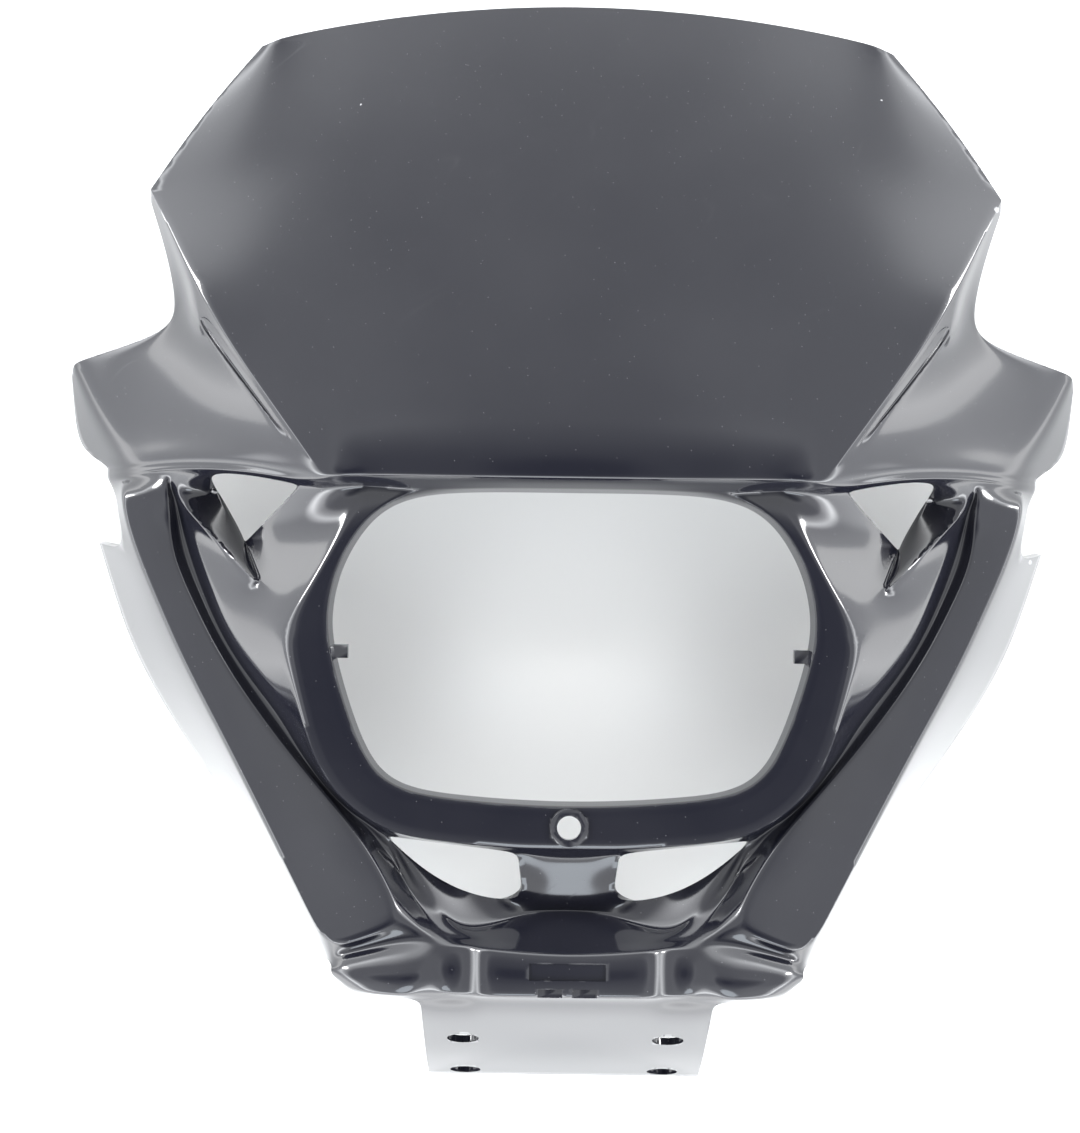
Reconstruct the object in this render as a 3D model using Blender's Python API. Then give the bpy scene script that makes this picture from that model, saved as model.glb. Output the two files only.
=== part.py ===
"""Motorcycle headlight mask: one moulded shell of gloss black plastic.

The mask lies face up: +Z points out of its face, +Y to the visor's top edge and X across.
Sizes are millimetres, which MM turns into metres. The right half is laid out as named lines,
panels are stretched between them, the half is mirrored and smoothed, and the shell gets its
wall, bores, pegs and recesses.
"""
import bmesh
import bpy
import numpy as np
from mathutils import Vector

MM = 0.001
SHELL = "headlight_mask"
SMOOTHING = 1

# Visor: the centre line, the soft crease beside it and its corners
VISOR_TOP_Y = 235.7
VISOR_LEAN = 0.37
VISOR_ARCH = 0.00045
VISOR_BEND = 20.0
VISOR_CROWN = 6.0
BROW_Y = 38.0
BROW_HEIGHT = 113.5
CREASE_TOP = (121.0, 221.5)
CREASE_FOOT = (84.0, 38.5)
TOP_CORNER = (132.5, 216.8, 41.0)
SIDE_CORNER = (176.8, 154.6, 54.0)
SIDE_EDGE_BULGE = 1.8
FACET_BULGE = 1.5
RIDGE_MIDDLE = (146.5, 99.5, 83.0)
RIDGE_FOOT = (101.5, 37.5, 107.0)

# Wing: its silhouette from the side corner to the tip, and the crease down to the arm
CORNER_DROP = (0.6, -4.5, -5.0)
WAIST_TOP = (170.0, 128.0, 50.0)
WAIST = (166.0, 107.5, 48.5)
WING_EDGE = ((168.4, 99.3, 46.5), (177.5, 94.2, 41.0), (195.0, 89.3, 30.0))
WING_TIP = (213.2, 84.4, 19.0)
WING_CREASE = ((203.6, 64.0, 28.0), (192.8, 49.5, 38.0), (187.5, 39.5, 46.0))
BAND_EDGE = ((215.0, 79.0, 13.0), (214.6, 62.0, 6.0), (212.4, 47.8, 4.0), (197.0, 40.5, 29.0))
WING_SAG = 6.0

# Leaf recess along the outside of the ridge, from its fourth row to its eighth
LEAF_ROWS = slice(4, 9)
LEAF_GAP = 2.4
LEAF_WIDTHS = (5.4, 5.6, 5.0, 3.8, 1.8)
LEAF_DEPTH = 1.3
LEAF_DRAFT = 0.5

# Brow: rise of its line between visor and arm, and its lip
BROW_ARCH = 3.2
LIP_CENTRE = ((-2.6, -0.2), (-4.6, -3.0), (-6.8, -11.0))
LIP_SIDE = ((-2.0, -3.2), (-4.4, -1.6), (-6.0, -4.0))

# Headlight ring: inner and outer edge from the brow down to the centre line
RING_INNER = ((78.5, 23.0), (88.0, 11.5), (95.5, -3.0), (99.1, -22.0), (96.3, -38.0), (91.5, -54.5),
              (86.0, -70.0), (78.5, -84.0), (66.0, -91.3), (46.0, -94.0), (22.0, -95.9), (0.0, -96.5))
RING_OUTER = ((90.0, 18.5), (97.5, 4.5), (106.0, -11.0), (114.8, -28.0), (112.3, -42.0), (108.0, -60.0),
              (103.5, -76.0), (94.5, -92.0), (76.0, -106.6), (52.0, -111.2), (21.0, -112.6), (0.0, -113.0))
RING_HEIGHT = 99.0
RING_DEPTH = 12.0
RING_DRAFT = 1.5

# Rib from the arm's top to the ring's corner, the groove outside it and the vent inside it
RIB_CREST = ((165.3, 28.0, 58.5), (154.8, 17.0, 63.5), (144.0, 7.0, 70.0), (133.5, -3.0, 77.5),
             (123.3, -12.5, 87.0))
GROOVE_HEAD = ((167.0, 31.5, 56.0), (163.5, 24.5, 52.5), (159.5, 15.5, 51.5), (155.0, 4.0, 54.0),
               (147.9, -13.5, 59.0), (138.0, -31.5, 65.0), (124.5, -47.5, 71.0))
GROOVE_TAIL = ((112.0, -61.0, 21.5), (105.5, -77.5, 17.0), (95.5, -94.5, 12.0), (73.5, -109.6, 10.0))
VENT_TIP = (135.0, 8.5, 60.0)
VENT_SIDE = ((148.5, 32.0, 60.0), (145.0, 26.5, 57.0), (141.5, 20.5, 57.0), (138.0, 14.5, 58.5))
VENT_INNER = (121.5, 20.5, 79.0)

# Arm: face edges below its rounded top, and the flange's rear edge
ARM_INNER = ((165.0, 3.0, 60.5), (144.0, -37.0, 73.0), (118.5, -71.0, 83.0), (93.0, -98.5, 92.0),
             (71.0, -129.0, 100.0), (66.0, -142.5, 104.0))
ARM_OUTER = ((180.5, 3.0, 56.5), (161.0, -37.0, 69.0), (140.0, -74.0, 79.5), (121.0, -109.0, 88.5),
             (104.0, -140.0, 98.0), (96.0, -154.0, 103.5))
ARM_TOP = (((167.3, 28.5, 59.5), (187.2, 28.5, 54.5)), ((166.8, 18.5, 56.5), (186.2, 18.5, 52.0)))
ARM_CROWN = 0.8
SHOULDER_BULGE = 0.8
FLANGE_REAR = ((203.9, 7.8, 2.0), (188.5, -38.0, 2.0), (164.5, -78.0, 1.0), (138.5, -115.0, 0.5),
               (118.5, -151.0, 0.2), (108.7, -172.0, 0.0))
RELIEF_EDGE = ((191.5, 28.0, 40.0), (190.4, 19.0, 41.0))
FLANGE_BULGE = 0.8

# Centre post and scoops, with heights below the ring
POST_ROWS = ((20.5, -115.0, 5.0, 7.0), (19.0, -125.0, 9.0, 12.5), (17.5, -136.0, 13.5, 17.0))
BAR_BACK = (51.0, -112.2, 10.0)
SCOOP_LIP = ((41.0, -133.6, 23.0), (59.5, -123.0, 20.0))
SCOOP_FLOOR = ((0.0, -143.5, 11.0), (20.0, -142.8, 10.0), (39.0, -141.5, 11.0), (55.5, -135.0, 13.0))
SCOOP_WALL = (66.5, -127.0, 14.0)
SCOOP_END_Y = -149.3
SCOOP_END_DROP = 9.0

# Beam, feet and tongue
BEAM_HEIGHT = 113.0
BEAM_TOP = -152.6
BEAM_FOOT = -170.5
BEAM_HOLLOW = 1.6
BLOCK_HALF = 34.5
VALLEY_STEP = 4.0
VALLEY_DEPTH = 6.0
TONGUE_HALF = 58.3
TONGUE_TOP = (-178.5, 98.0)
TONGUE_BEND = (-207.0, 35.0)
TONGUE_END = -220.0
BEAM_INSET = 7.3
FOOT_TIP = (95.0, -163.0, 102.0)
FOOT_TIP_ROUND = ((-1.5, 2.7, 1.0), (0, 0, 0), (-2.5, -3.0, -2.0), (-3.5, -4.5, -7.0))
FOOT_GROOVE = 3.4

# Wall, bores and small forms
WALL = 3.0
FINEST = 0.05
SCREW_Y = -104.5
SCREW_RADIUS = 4.8
BOSS_RADIUS = 7.6
BOSS_RISE = 1.2
TONGUE_HOLE_RADIUS = 6.5
TONGUE_HOLE_INSET = 16.0
TONGUE_HOLES_Z = (61.0, 8.5)
PEG_Y = -35.2
PEG_SIZE = (8.0, 5.4, 7.0)
PEG_REACH = 6.6
CATCH_HALF = 15.2
CATCH_SPAN = (-157.3, -164.0)
CATCH_DEPTH = 1.5
CATCH_GAP_WIDTH = 9.8
CATCH_GAP_X = 6.9
CATCH_GAP_TOP = -167.4


def through(points, steps):
    """Points evenly spread by length along a smooth curve through the given points."""
    knots = np.asarray(points, float)
    padded = np.vstack([2 * knots[0] - knots[1], knots, 2 * knots[-1] - knots[-2]])
    t = np.linspace(0, 1, 9)[:-1, None]
    pieces = []
    for before, start, end, after in zip(padded, padded[1:], padded[2:], padded[3:]):
        pieces.append(0.5 * (2 * start + (end - before) * t
                             + (2 * before - 5 * start + 4 * end - after) * t ** 2
                             + (3 * start - before - 3 * end + after) * t ** 3))
    path = np.vstack(pieces + [knots[-1:]])
    length = np.concatenate([[0], np.cumsum(np.linalg.norm(np.diff(path, axis=0), axis=1))])
    wanted = np.linspace(0, length[-1], steps + 1)
    return np.stack([np.interp(wanted, length, path[:, axis]) for axis in range(3)], axis=1)


def between(start, end, share, bulge=0.0):
    """Points between two lines at one share of the way, lifted by a bulge at the middle."""
    points = start + (end - start) * share
    points[:, 2] += bulge * 4 * share * (1 - share)
    return points


def visor_height(y):
    """Height of the visor's centre line: level at the brow, leaning back ever more above it."""
    rise = np.maximum(y - BROW_Y - 4, 0)
    lean = VISOR_LEAN * (rise - VISOR_BEND * (1 - np.exp(-rise / VISOR_BEND)))
    return BROW_HEIGHT - lean - VISOR_ARCH / 2 * rise ** 2


def ridge_line():
    """Ridge from the side corner in to the brow."""
    return through([SIDE_CORNER, RIDGE_MIDDLE, RIDGE_FOOT], 9)


def visor_grid():
    """Visor from the centre line out to its side edge and, below the side corner, the ridge."""
    share = np.linspace(0, 1, 4)[:, None]
    side_edge = np.array(TOP_CORNER) * (1 - share) + np.array(SIDE_CORNER) * share
    side_edge[:, :2] += SIDE_EDGE_BULGE * 4 * share * (1 - share) * 0.7
    outer = np.vstack([side_edge[:-1], ridge_line()])
    ease = 1 - (1 - np.linspace(0, 1, len(outer))) ** 1.25
    centre_y = VISOR_TOP_Y + (BROW_Y - VISOR_TOP_Y) * ease
    crease = np.array(CREASE_TOP) + (np.array(CREASE_FOOT) - np.array(CREASE_TOP)) * ease[:, None]
    columns = []
    for share in (0.0, 0.38, 0.74, 1.0):
        x = crease[:, 0] * share
        y = centre_y + (crease[:, 1] - centre_y) * share ** 2
        columns.append(np.stack([x, y, visor_height(y) - VISOR_CROWN * share ** 2], axis=1))
    columns.append(between(columns[-1], outer, 0.5, FACET_BULGE))
    columns.append(outer)
    return np.stack(columns, axis=1)


def wing_grid():
    """Return wall and wing from the ridge out to the silhouette and the wing's outer crease."""
    corner = np.array(SIDE_CORNER) + CORNER_DROP
    outer = np.vstack([corner, WAIST_TOP, WAIST, WING_EDGE, WING_TIP, WING_CREASE])
    ridge = ridge_line()
    sag = WING_SAG * np.array([0, 0, 0.3, 1, 1.3, 1.3, 1.1, 0.7, 0.2, -0.4])
    arch = BROW_ARCH * np.array([0, 0, 0, 0, 0, 0, 0, 0, 0.5, 1.0])
    outward = (outer - ridge) / np.linalg.norm((outer - ridge)[:, :2], axis=1)[:, None]
    rim = ridge.copy()
    rim[LEAF_ROWS] += LEAF_GAP * outward[LEAF_ROWS]
    far_rim = between(ridge, outer, 0.1)
    far_rim[LEAF_ROWS] = rim[LEAF_ROWS] + outward[LEAF_ROWS] * np.array(LEAF_WIDTHS)[:, None]
    columns = [ridge, rim, far_rim]
    for share in (0.33, 0.56, 0.78):
        column = between(ridge, outer, share)
        column[:, 2] -= sag * 4 * share * (1 - share)
        column[:, 1] += arch * 4 * share * (1 - share) ** 0.8
        columns.append(column)
    columns.append(outer)
    outer[-1, 1] += BROW_ARCH * 0.4
    return np.stack(columns, axis=1)


def leaf_floor(wing):
    """Floor of the leaf recess, set in from its two rims and sunk below them."""
    rims = wing[LEAF_ROWS, 1:3]
    across = rims[:, 1] - rims[:, 0]
    across /= np.linalg.norm(across, axis=1)[:, None]
    along = np.gradient(rims[:, 0], axis=0)
    along /= np.linalg.norm(along, axis=1)[:, None]
    down = np.cross(across, along)
    down *= -np.sign(down[:, 2:])
    floor = rims + LEAF_DEPTH * down[:, None]
    floor[:, 0] += LEAF_DRAFT * across
    floor[:, 1] -= LEAF_DRAFT * across
    floor[0] += LEAF_DRAFT * along[0]
    floor[-1] -= LEAF_DRAFT * along[-1]
    return floor


def band_grid(wing):
    """Steep band outside the wing's crease, down to the wing's heel."""
    return np.stack([wing[6:, -1], np.array(BAND_EDGE)], axis=1)


def brow_grid(visor, wing, band):
    """Brow below visor and wing: a rounded lip at the centre, a groove and a lip outside it."""
    first = np.vstack([visor[-1], wing[-1, 2:], band[-1, 1:]])
    side = np.clip((first[:, 0] - RIDGE_FOOT[0] + 6) / 26, 0, 1)[:, None]
    rows = [first]
    for centre_step, side_step in zip(LIP_CENTRE, LIP_SIDE):
        step = np.array([0, *centre_step]) * (1 - side) + np.array([0, *side_step]) * side
        rows.append(first + step)
    rows[-1][2, 1] -= RING_DRAFT
    return np.stack(rows, axis=0)


def ring_lines(brow):
    """Inner edge and outer edge of the headlight ring, from the brow down to the centre."""
    level = np.full((len(RING_INNER), 1), RING_HEIGHT)
    inner = np.vstack([brow[-1, :3], np.hstack([np.array(RING_INNER), level])])
    outer = np.vstack([brow[-1, 3], np.hstack([np.array(RING_OUTER), level])])
    return inner, outer


def arm_grid(brow):
    """Arm face from its inner edge to its outer crease, from the brow down to the beam."""
    inner = np.vstack([brow[-1, 9], [pair[0] for pair in ARM_TOP], through(ARM_INNER, 9)])
    outer = np.vstack([brow[-1, 10], [pair[1] for pair in ARM_TOP], through(ARM_OUTER, 9)])
    return np.stack([inner, between(inner, outer, 0.5, ARM_CROWN), outer], axis=1)


def flange_lines(arm, brow):
    """Side flange: a narrow band all along the arm's crease, and the wide part below its step."""
    crease = arm[3:, -1]
    rear = through(FLANGE_REAR, len(crease) - 1)
    near = between(crease, rear, 0.22)
    near[:, 0] += FLANGE_BULGE
    near = np.vstack([brow[-1, 11], RELIEF_EDGE, near])
    return near, rear


def below_ring(points):
    """Points whose third number is their depth below the ring."""
    return np.array(points) * (1, 1, -1) + (0, 0, RING_HEIGHT)


def groove_line(scoop_end):
    """Line along the foot of the arm's inner wall, from the brow down to the beam."""
    return np.vstack([GROOVE_HEAD, below_ring((*GROOVE_TAIL, SCOOP_WALL)), scoop_end])


def post_grid(outer):
    """Centre post below the ring: a hollow face between raised sides."""
    rows = [outer[11:13]]
    for x, y, side, middle in POST_ROWS:
        rows.append([(x, y, RING_HEIGHT - side), (0, y, RING_HEIGHT - middle)])
    return np.array([np.asarray(row, float) for row in rows])


def scoop_end_line():
    """Line between the scoop and the beam, from the valley beside the block to the centre."""
    x = np.array([TONGUE_HALF - BEAM_INSET, BLOCK_HALF + VALLEY_STEP, BLOCK_HALF, BLOCK_HALF / 2, 0])
    y = SCOOP_END_Y - BEAM_HOLLOW * (1 - x / BLOCK_HALF)
    z = BEAM_HEIGHT - SCOOP_END_DROP - VALLEY_DEPTH / 2 * (x > BLOCK_HALF)
    return np.stack([x, y, z], axis=1)


def beam_grid(scoop_end):
    """Beam and tongue from the scoop's end over the block and down the tongue."""
    x = scoop_end[:, 0]
    dip = VALLEY_DEPTH * np.array([1.0, 0.9, 0, 0, 0])
    hollow = BEAM_HOLLOW * np.array([-0.5, -0.6, -0.5, 0.6, 1.0])
    rows = [scoop_end]
    for y, drop, bend in ((BEAM_TOP, 2.0, 1.0), ((BEAM_TOP + BEAM_FOOT) / 2, 0.0, 0.5),
                          (BEAM_FOOT, 1.0, 0.0), (BEAM_FOOT - 2.5, 7.0, 0.0)):
        rows.append(np.stack([x, y - hollow * bend, BEAM_HEIGHT - drop - dip], axis=1))
    for share in (0.0, 0.5, 1.0):
        y, z = np.array(TONGUE_TOP) * (1 - share) + np.array(TONGUE_BEND) * share
        rows.append(np.stack([x, np.full(5, y), np.full(5, z)], axis=1))
    rows.append(np.stack([x, np.full(5, TONGUE_END), np.zeros(5)], axis=1))
    return np.stack(rows, axis=0)


def foot_grid(under_start):
    """Foot at the end of the beam, from its top edge over its crest to its underside."""
    span = FOOT_TIP[0] - TONGUE_HALF
    x = np.array([TONGUE_HALF, TONGUE_HALF + 0.37 * span, TONGUE_HALF + 0.76 * span])
    taper = np.array([0.0, 0.35, 1.0])
    top = np.stack([x - [1.3, 0, 0], BEAM_TOP + 0.3 - 5.2 * taper, BEAM_HEIGHT - 4.2 + 0.2 * taper], axis=1)
    crest = np.stack([x - [0.6, 0, 0], BEAM_TOP - 9.4 - 1.5 * taper, BEAM_HEIGHT - 3 * taper], axis=1)
    low = np.stack([x, BEAM_FOOT - 0.5 + 1.2 * taper ** 2, BEAM_HEIGHT - 2.5 - 3.5 * taper ** 2], axis=1)
    under = np.stack([x, BEAM_FOOT - 2.7 + 1.2 * taper ** 2, BEAM_HEIGHT - 11 - 2 * taper], axis=1)
    under[0] = under_start
    return np.stack([top, crest, low, under], axis=0)


def build_cage():
    """All panels of the right half as grids of points, single faces and the tight lines."""
    visor = visor_grid()
    wing = wing_grid()
    band = band_grid(wing)
    brow = brow_grid(visor, wing, band)
    inner, outer = ring_lines(brow)
    arm = arm_grid(brow)
    near, rear = flange_lines(arm, brow)
    leaf = leaf_floor(wing)
    rims = wing[LEAF_ROWS, 1:3]
    grids = [visor, wing[:, :2], wing[:, 2:], band, brow.transpose(1, 0, 2)]
    grids += [wing[:LEAF_ROWS.start + 1, 1:3], wing[LEAF_ROWS.stop - 1:, 1:3], leaf]
    grids += [np.stack([rims[:, side], leaf[:, side]], axis=1) for side in (0, 1)]
    faces = [[rims[end, 0], rims[end, 1], leaf[end, 1], leaf[end, 0]] for end in (0, -1)]

    # Ring face and its return flange
    centre = np.array([0.0, (inner[0, 1] + inner[-1, 1]) / 2, 0.0])
    inward = (centre - inner) * (1, 1, 0)
    back = inner + inward / np.linalg.norm(inward, axis=1)[:, None] * RING_DRAFT
    back[:, 2] = inner[:, 2] - RING_DEPTH
    grids.append(np.stack([inner, back], axis=1))
    grids.append(np.stack([inner[2:], outer], axis=1))

    # Wall that falls from the ring to the vent, and the rib's two sides
    scoop_end = scoop_end_line()
    groove = groove_line(scoop_end[0])
    crest = np.array(RIB_CREST)
    wall_foot = np.array([brow[-1, 6], VENT_INNER, VENT_TIP, crest[4]])
    wall = [outer[:4]]
    for share, top in ((1 / 3, brow[-1, 4]), (2 / 3, brow[-1, 5])):
        column = between(outer[:4], wall_foot, share)
        column[0] = top
        wall.append(column)
    wall = np.stack(wall + [wall_foot], axis=1)
    grids.append(wall)
    faces.append([outer[3], wall[3, 1], wall[3, 2], crest[4], outer[4]])
    grids.append(np.stack([groove[:11], np.vstack([crest, outer[4:10]])], axis=1))
    vent_side = np.vstack([VENT_SIDE, VENT_TIP])
    grids.append(np.stack([vent_side, crest], axis=1))

    # Arm's inner wall
    shoulder = between(groove, arm[:, 0], 0.6, SHOULDER_BULGE)
    shoulder[-1, 2] -= WALL
    grids.append(np.stack([groove, shoulder, arm[:, 0]], axis=1))
    faces.append([brow[-1, 8], brow[-1, 9], shoulder[0], groove[0]])
    faces.append([brow[-1, 8], groove[0], crest[0], vent_side[0]])

    # Arm face and side flange
    grids.append(arm[1:])
    faces.append([arm[0, 0], arm[1, 0], arm[1, 1], arm[1, 2], arm[0, 2]])
    grids.append(np.stack([arm[:, -1], near], axis=1))
    grids.append(np.stack([near[3:], rear], axis=1))

    # Lower opening, centre post and scoop
    post = post_grid(outer)
    bar_back = np.vstack([groove[10], below_ring([BAR_BACK]), post[1, 0]])
    grids.append(np.stack([outer[9:12], bar_back], axis=1))
    grids.append(post)
    lip = below_ring(SCOOP_LIP)
    scoop_top = np.vstack([groove[10], lip[1], lip[0], post[3]])
    scoop_middle = np.vstack([groove[11], below_ring(SCOOP_FLOOR)[::-1]])
    grids.append(np.stack([scoop_top, scoop_middle, scoop_end], axis=1))

    # Beam and tongue
    beam = beam_grid(scoop_end)
    grids.append(beam)
    tongue_edge = beam[4:, 0].copy()
    tongue_edge[:, 0] = TONGUE_HALF
    tongue_edge[0, 2] = BEAM_HEIGHT - SCOOP_END_DROP
    grids.append(np.stack([beam[4:, 0], tongue_edge], axis=1))

    # Foot, the groove above it and the arm's end
    foot = foot_grid(tongue_edge[0])
    tip = np.array(FOOT_TIP) + FOOT_TIP_ROUND
    end = arm[12]
    dip = between(end, foot[0], 0.55, -FOOT_GROOVE)
    grids.append(foot)
    faces += [[beam[1, 0], foot[0, 0], foot[1, 0], beam[2, 0]],
              [beam[2, 0], foot[1, 0], foot[2, 0], beam[3, 0]],
              [beam[3, 0], foot[2, 0], foot[3, 0], beam[4, 0]], [beam[1, 0], dip[0], foot[0, 0]],
              [beam[0, 0], shoulder[12], end[0], dip[0], beam[1, 0]]]
    for step in range(3):
        faces.append([foot[step, 2], tip[step], tip[step + 1], foot[step + 1, 2]])
    grids.append(np.stack([end, dip, foot[0]], axis=1))
    faces.append([dip[2], end[2], near[12], tip[0]])
    faces.append([dip[2], tip[0], foot[0, 2]])
    creases = [(rims[:, 0], 0.8), (rims[:, 1], 0.8), (rims[0], 0.8),
               (leaf[:, 0], 0.6), (leaf[:, 1], 0.6), (visor[3:, -1], 0.6),
               (brow[1, :6], 0.45), (brow[2, 6:11], 0.3), (brow[-1, :7], 0.5),
               (inner, 0.7), (outer[:5], 0.35), (outer[4:], 0.6), (arm[:, 0], 0.5), (arm[:, 2], 0.65),
               (groove, 0.4), (crest, 0.6), (wall[2:, -1], 0.5),
               (wing[6:, -1], 0.35), (beam[1], 0.4), (beam[3], 0.55), (beam[1:4, 2], 0.35),
               (foot[0], 0.3), (foot[2], 0.5), (end, 0.4), (wall[:3, -1], 0.5), (post[:, 0], 0.4),
               (scoop_end, 0.4)]
    return grids, faces, creases


def cage_mesh(grids, faces):
    """One welded mesh of the right half."""
    mesh = bmesh.new()

    def add(points):
        corners = [Vector(point) for point in np.asarray(points, float)]
        kept = [c for i, c in enumerate(corners) if (c - corners[i - 1]).length > 0.01]
        if len(kept) > 2:
            mesh.faces.new([mesh.verts.new(corner) for corner in kept])

    for grid in grids:
        rows, columns = grid.shape[:2]
        for row in range(rows - 1):
            for column in range(columns - 1):
                add([grid[row, column], grid[row, column + 1],
                     grid[row + 1, column + 1], grid[row + 1, column]])
    for face in faces:
        add(face)
    bmesh.ops.remove_doubles(mesh, verts=mesh.verts, dist=0.02)
    return mesh


def mark_creases(mesh, creases):
    """Keeps the edges along the named lines tighter than the smoothing would."""
    weights = mesh.edges.layers.float.new("crease_edge")
    for points, weight in creases:
        kept = {tuple(np.round(point, 1)) for point in points}
        for edge in mesh.edges:
            if all(tuple(np.round(vert.co, 1)) in kept for vert in edge.verts):
                edge[weights] = weight


def turn_outwards(mesh):
    """Turns every face so that neighbours agree and the visor looks up."""
    bmesh.ops.recalc_face_normals(mesh, faces=mesh.faces)
    highest = max(mesh.faces, key=lambda face: face.calc_center_median().z)
    if highest.normal.z < 0:
        bmesh.ops.reverse_faces(mesh, faces=mesh.faces)


def mirror_cage(cage):
    """Adds the left half and welds the two along the centre line."""
    for vert in cage.verts:
        if abs(vert.co.x) < 0.05:
            vert.co.x = 0.0
    copied = bmesh.ops.duplicate(cage, geom=cage.verts[:] + cage.edges[:] + cage.faces[:])["geom"]
    for item in copied:
        if isinstance(item, bmesh.types.BMVert):
            item.co.x = -item.co.x
    bmesh.ops.reverse_faces(cage, faces=[item for item in copied if isinstance(item, bmesh.types.BMFace)])
    centre = [vert for vert in cage.verts if vert.co.x == 0.0]
    bmesh.ops.remove_doubles(cage, verts=centre, dist=0.01)


def plastic(name, colour, roughness):
    """Principled material of one finish."""
    material = bpy.data.materials.new(name)
    material.use_nodes = True
    shader = material.node_tree.nodes["Principled BSDF"]
    shader.inputs["Base Color"].default_value = (*colour, 1)
    shader.inputs["Roughness"].default_value = roughness
    return material


def new_object(name, mesh):
    """Object of a bmesh in millimetres, linked to the scene in metres."""
    bmesh.ops.scale(mesh, verts=mesh.verts, vec=(MM, MM, MM))
    data = bpy.data.meshes.new(name)
    mesh.to_mesh(data)
    mesh.free()
    made = bpy.data.objects.new(name, data)
    bpy.context.scene.collection.objects.link(made)
    return made


def fix_shape(target):
    """Replaces an object's mesh by its shape under its modifiers."""
    graph = bpy.context.evaluated_depsgraph_get()
    shape = bpy.data.meshes.new_from_object(target.evaluated_get(graph))
    target.modifiers.clear()
    target.data = shape


def combine(target, tool, operation):
    """Cuts with, or joins, another solid and keeps the outcome."""
    modifier = target.modifiers.new(operation.title(), "BOOLEAN")
    modifier.operation = operation
    modifier.object = tool
    fix_shape(target)
    bpy.data.objects.remove(tool)


def weld(target):
    """Joins points of a solid that lie closer together than a fine moulding shows."""
    mesh = bmesh.new()
    mesh.from_mesh(target.data)
    bmesh.ops.remove_doubles(mesh, verts=mesh.verts, dist=FINEST * MM)
    bmesh.ops.dissolve_degenerate(mesh, edges=mesh.edges, dist=FINEST * MM)
    mesh.to_mesh(target.data)
    mesh.free()


def cylinder(name, radius, start, end, sides):
    """Round bar between two points."""
    axis = Vector(end) - Vector(start)
    mesh = bmesh.new()
    bmesh.ops.create_cone(mesh, cap_ends=True, segments=sides, radius1=radius, radius2=radius,
                          depth=axis.length)
    mesh.transform(axis.to_track_quat("Z", "Y").to_matrix().to_4x4())
    bmesh.ops.translate(mesh, verts=mesh.verts, vec=(Vector(start) + Vector(end)) / 2)
    return new_object(name, mesh)


def box(name, size, centre):
    """Block of a size about a centre."""
    mesh = bmesh.new()
    bmesh.ops.create_cube(mesh, size=1.0)
    bmesh.ops.scale(mesh, verts=mesh.verts, vec=Vector(size))
    bmesh.ops.translate(mesh, verts=mesh.verts, vec=Vector(centre))
    return new_object(name, mesh)


def tongue_point(z):
    """Place on the tongue's outer face at a height, and the face's outward direction."""
    end = (TONGUE_END, 0.0)
    start, finish = (TONGUE_TOP, TONGUE_BEND) if z > TONGUE_BEND[1] else (TONGUE_BEND, end)
    share = (z - start[1]) / (finish[1] - start[1])
    y = start[0] + (finish[0] - start[0]) * share
    return Vector((0, y, z)), Vector((0, finish[1] - start[1], start[0] - finish[0])).normalized()


def add_screw_boss(shell):
    """Raised ring round the screw bore in the bar below the headlight."""
    face = Vector((0, SCREW_Y, RING_HEIGHT))
    up = Vector((0, 0, 1))
    boss = cylinder("Boss", BOSS_RADIUS, face - up * WALL * 0.7, face + up * BOSS_RISE, 32)
    combine(shell, boss, "UNION")
    reach = up * 5 * WALL
    combine(shell, cylinder("Screw bore", SCREW_RADIUS, face - reach, face + reach, 24), "DIFFERENCE")


def add_tongue_bores(shell):
    """Four bores square to the tongue's face."""
    for z in TONGUE_HOLES_Z:
        middle, outward = tongue_point(z)
        for side in (-1, 1):
            centre = middle + Vector((side * (TONGUE_HALF - TONGUE_HOLE_INSET), 0, 0))
            reach = outward * 4 * WALL
            bore = cylinder("Tongue bore", TONGUE_HOLE_RADIUS, centre - reach, centre + reach, 24)
            combine(shell, bore, "DIFFERENCE")


def add_pegs(shell):
    """Peg on each side of the ring's return flange, reaching into the opening."""
    inner = np.array(RING_INNER)
    edge = np.interp(-PEG_Y, -inner[:, 1], inner[:, 0])
    for side in (-1, 1):
        x = side * (edge - PEG_REACH + PEG_SIZE[0] / 2)
        peg = box("Peg", PEG_SIZE, (x, PEG_Y, RING_HEIGHT - RING_DEPTH - PEG_SIZE[2] / 2 + WALL))
        combine(shell, peg, "UNION")


def add_catch(shell):
    """Shallow rectangle in the beam's face, with two gaps between three short legs below it."""
    top, bottom = CATCH_SPAN
    size = (2 * CATCH_HALF, top - bottom, 2 * CATCH_DEPTH)
    combine(shell, box("Catch", size, (0, (top + bottom) / 2, BEAM_HEIGHT)), "DIFFERENCE")
    length = CATCH_GAP_TOP - BEAM_FOOT + WALL
    for side in (-1, 1):
        centre = (side * CATCH_GAP_X, CATCH_GAP_TOP - length / 2, BEAM_HEIGHT)
        gap = box("Catch gap", (CATCH_GAP_WIDTH, length, 2 * CATCH_DEPTH + 1), centre)
        combine(shell, gap, "DIFFERENCE")


def seat(shell):
    """Puts the origin below the middle of the shell, with its lowest point at zero."""
    data = shell.data
    places = np.empty(len(data.vertices) * 3)
    data.vertices.foreach_get("co", places)
    places = places.reshape(-1, 3)
    low, high = places.min(axis=0), places.max(axis=0)
    places -= (*((low + high) / 2)[:2], low[2])
    data.vertices.foreach_set("co", places.ravel())
    data.update()


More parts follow.
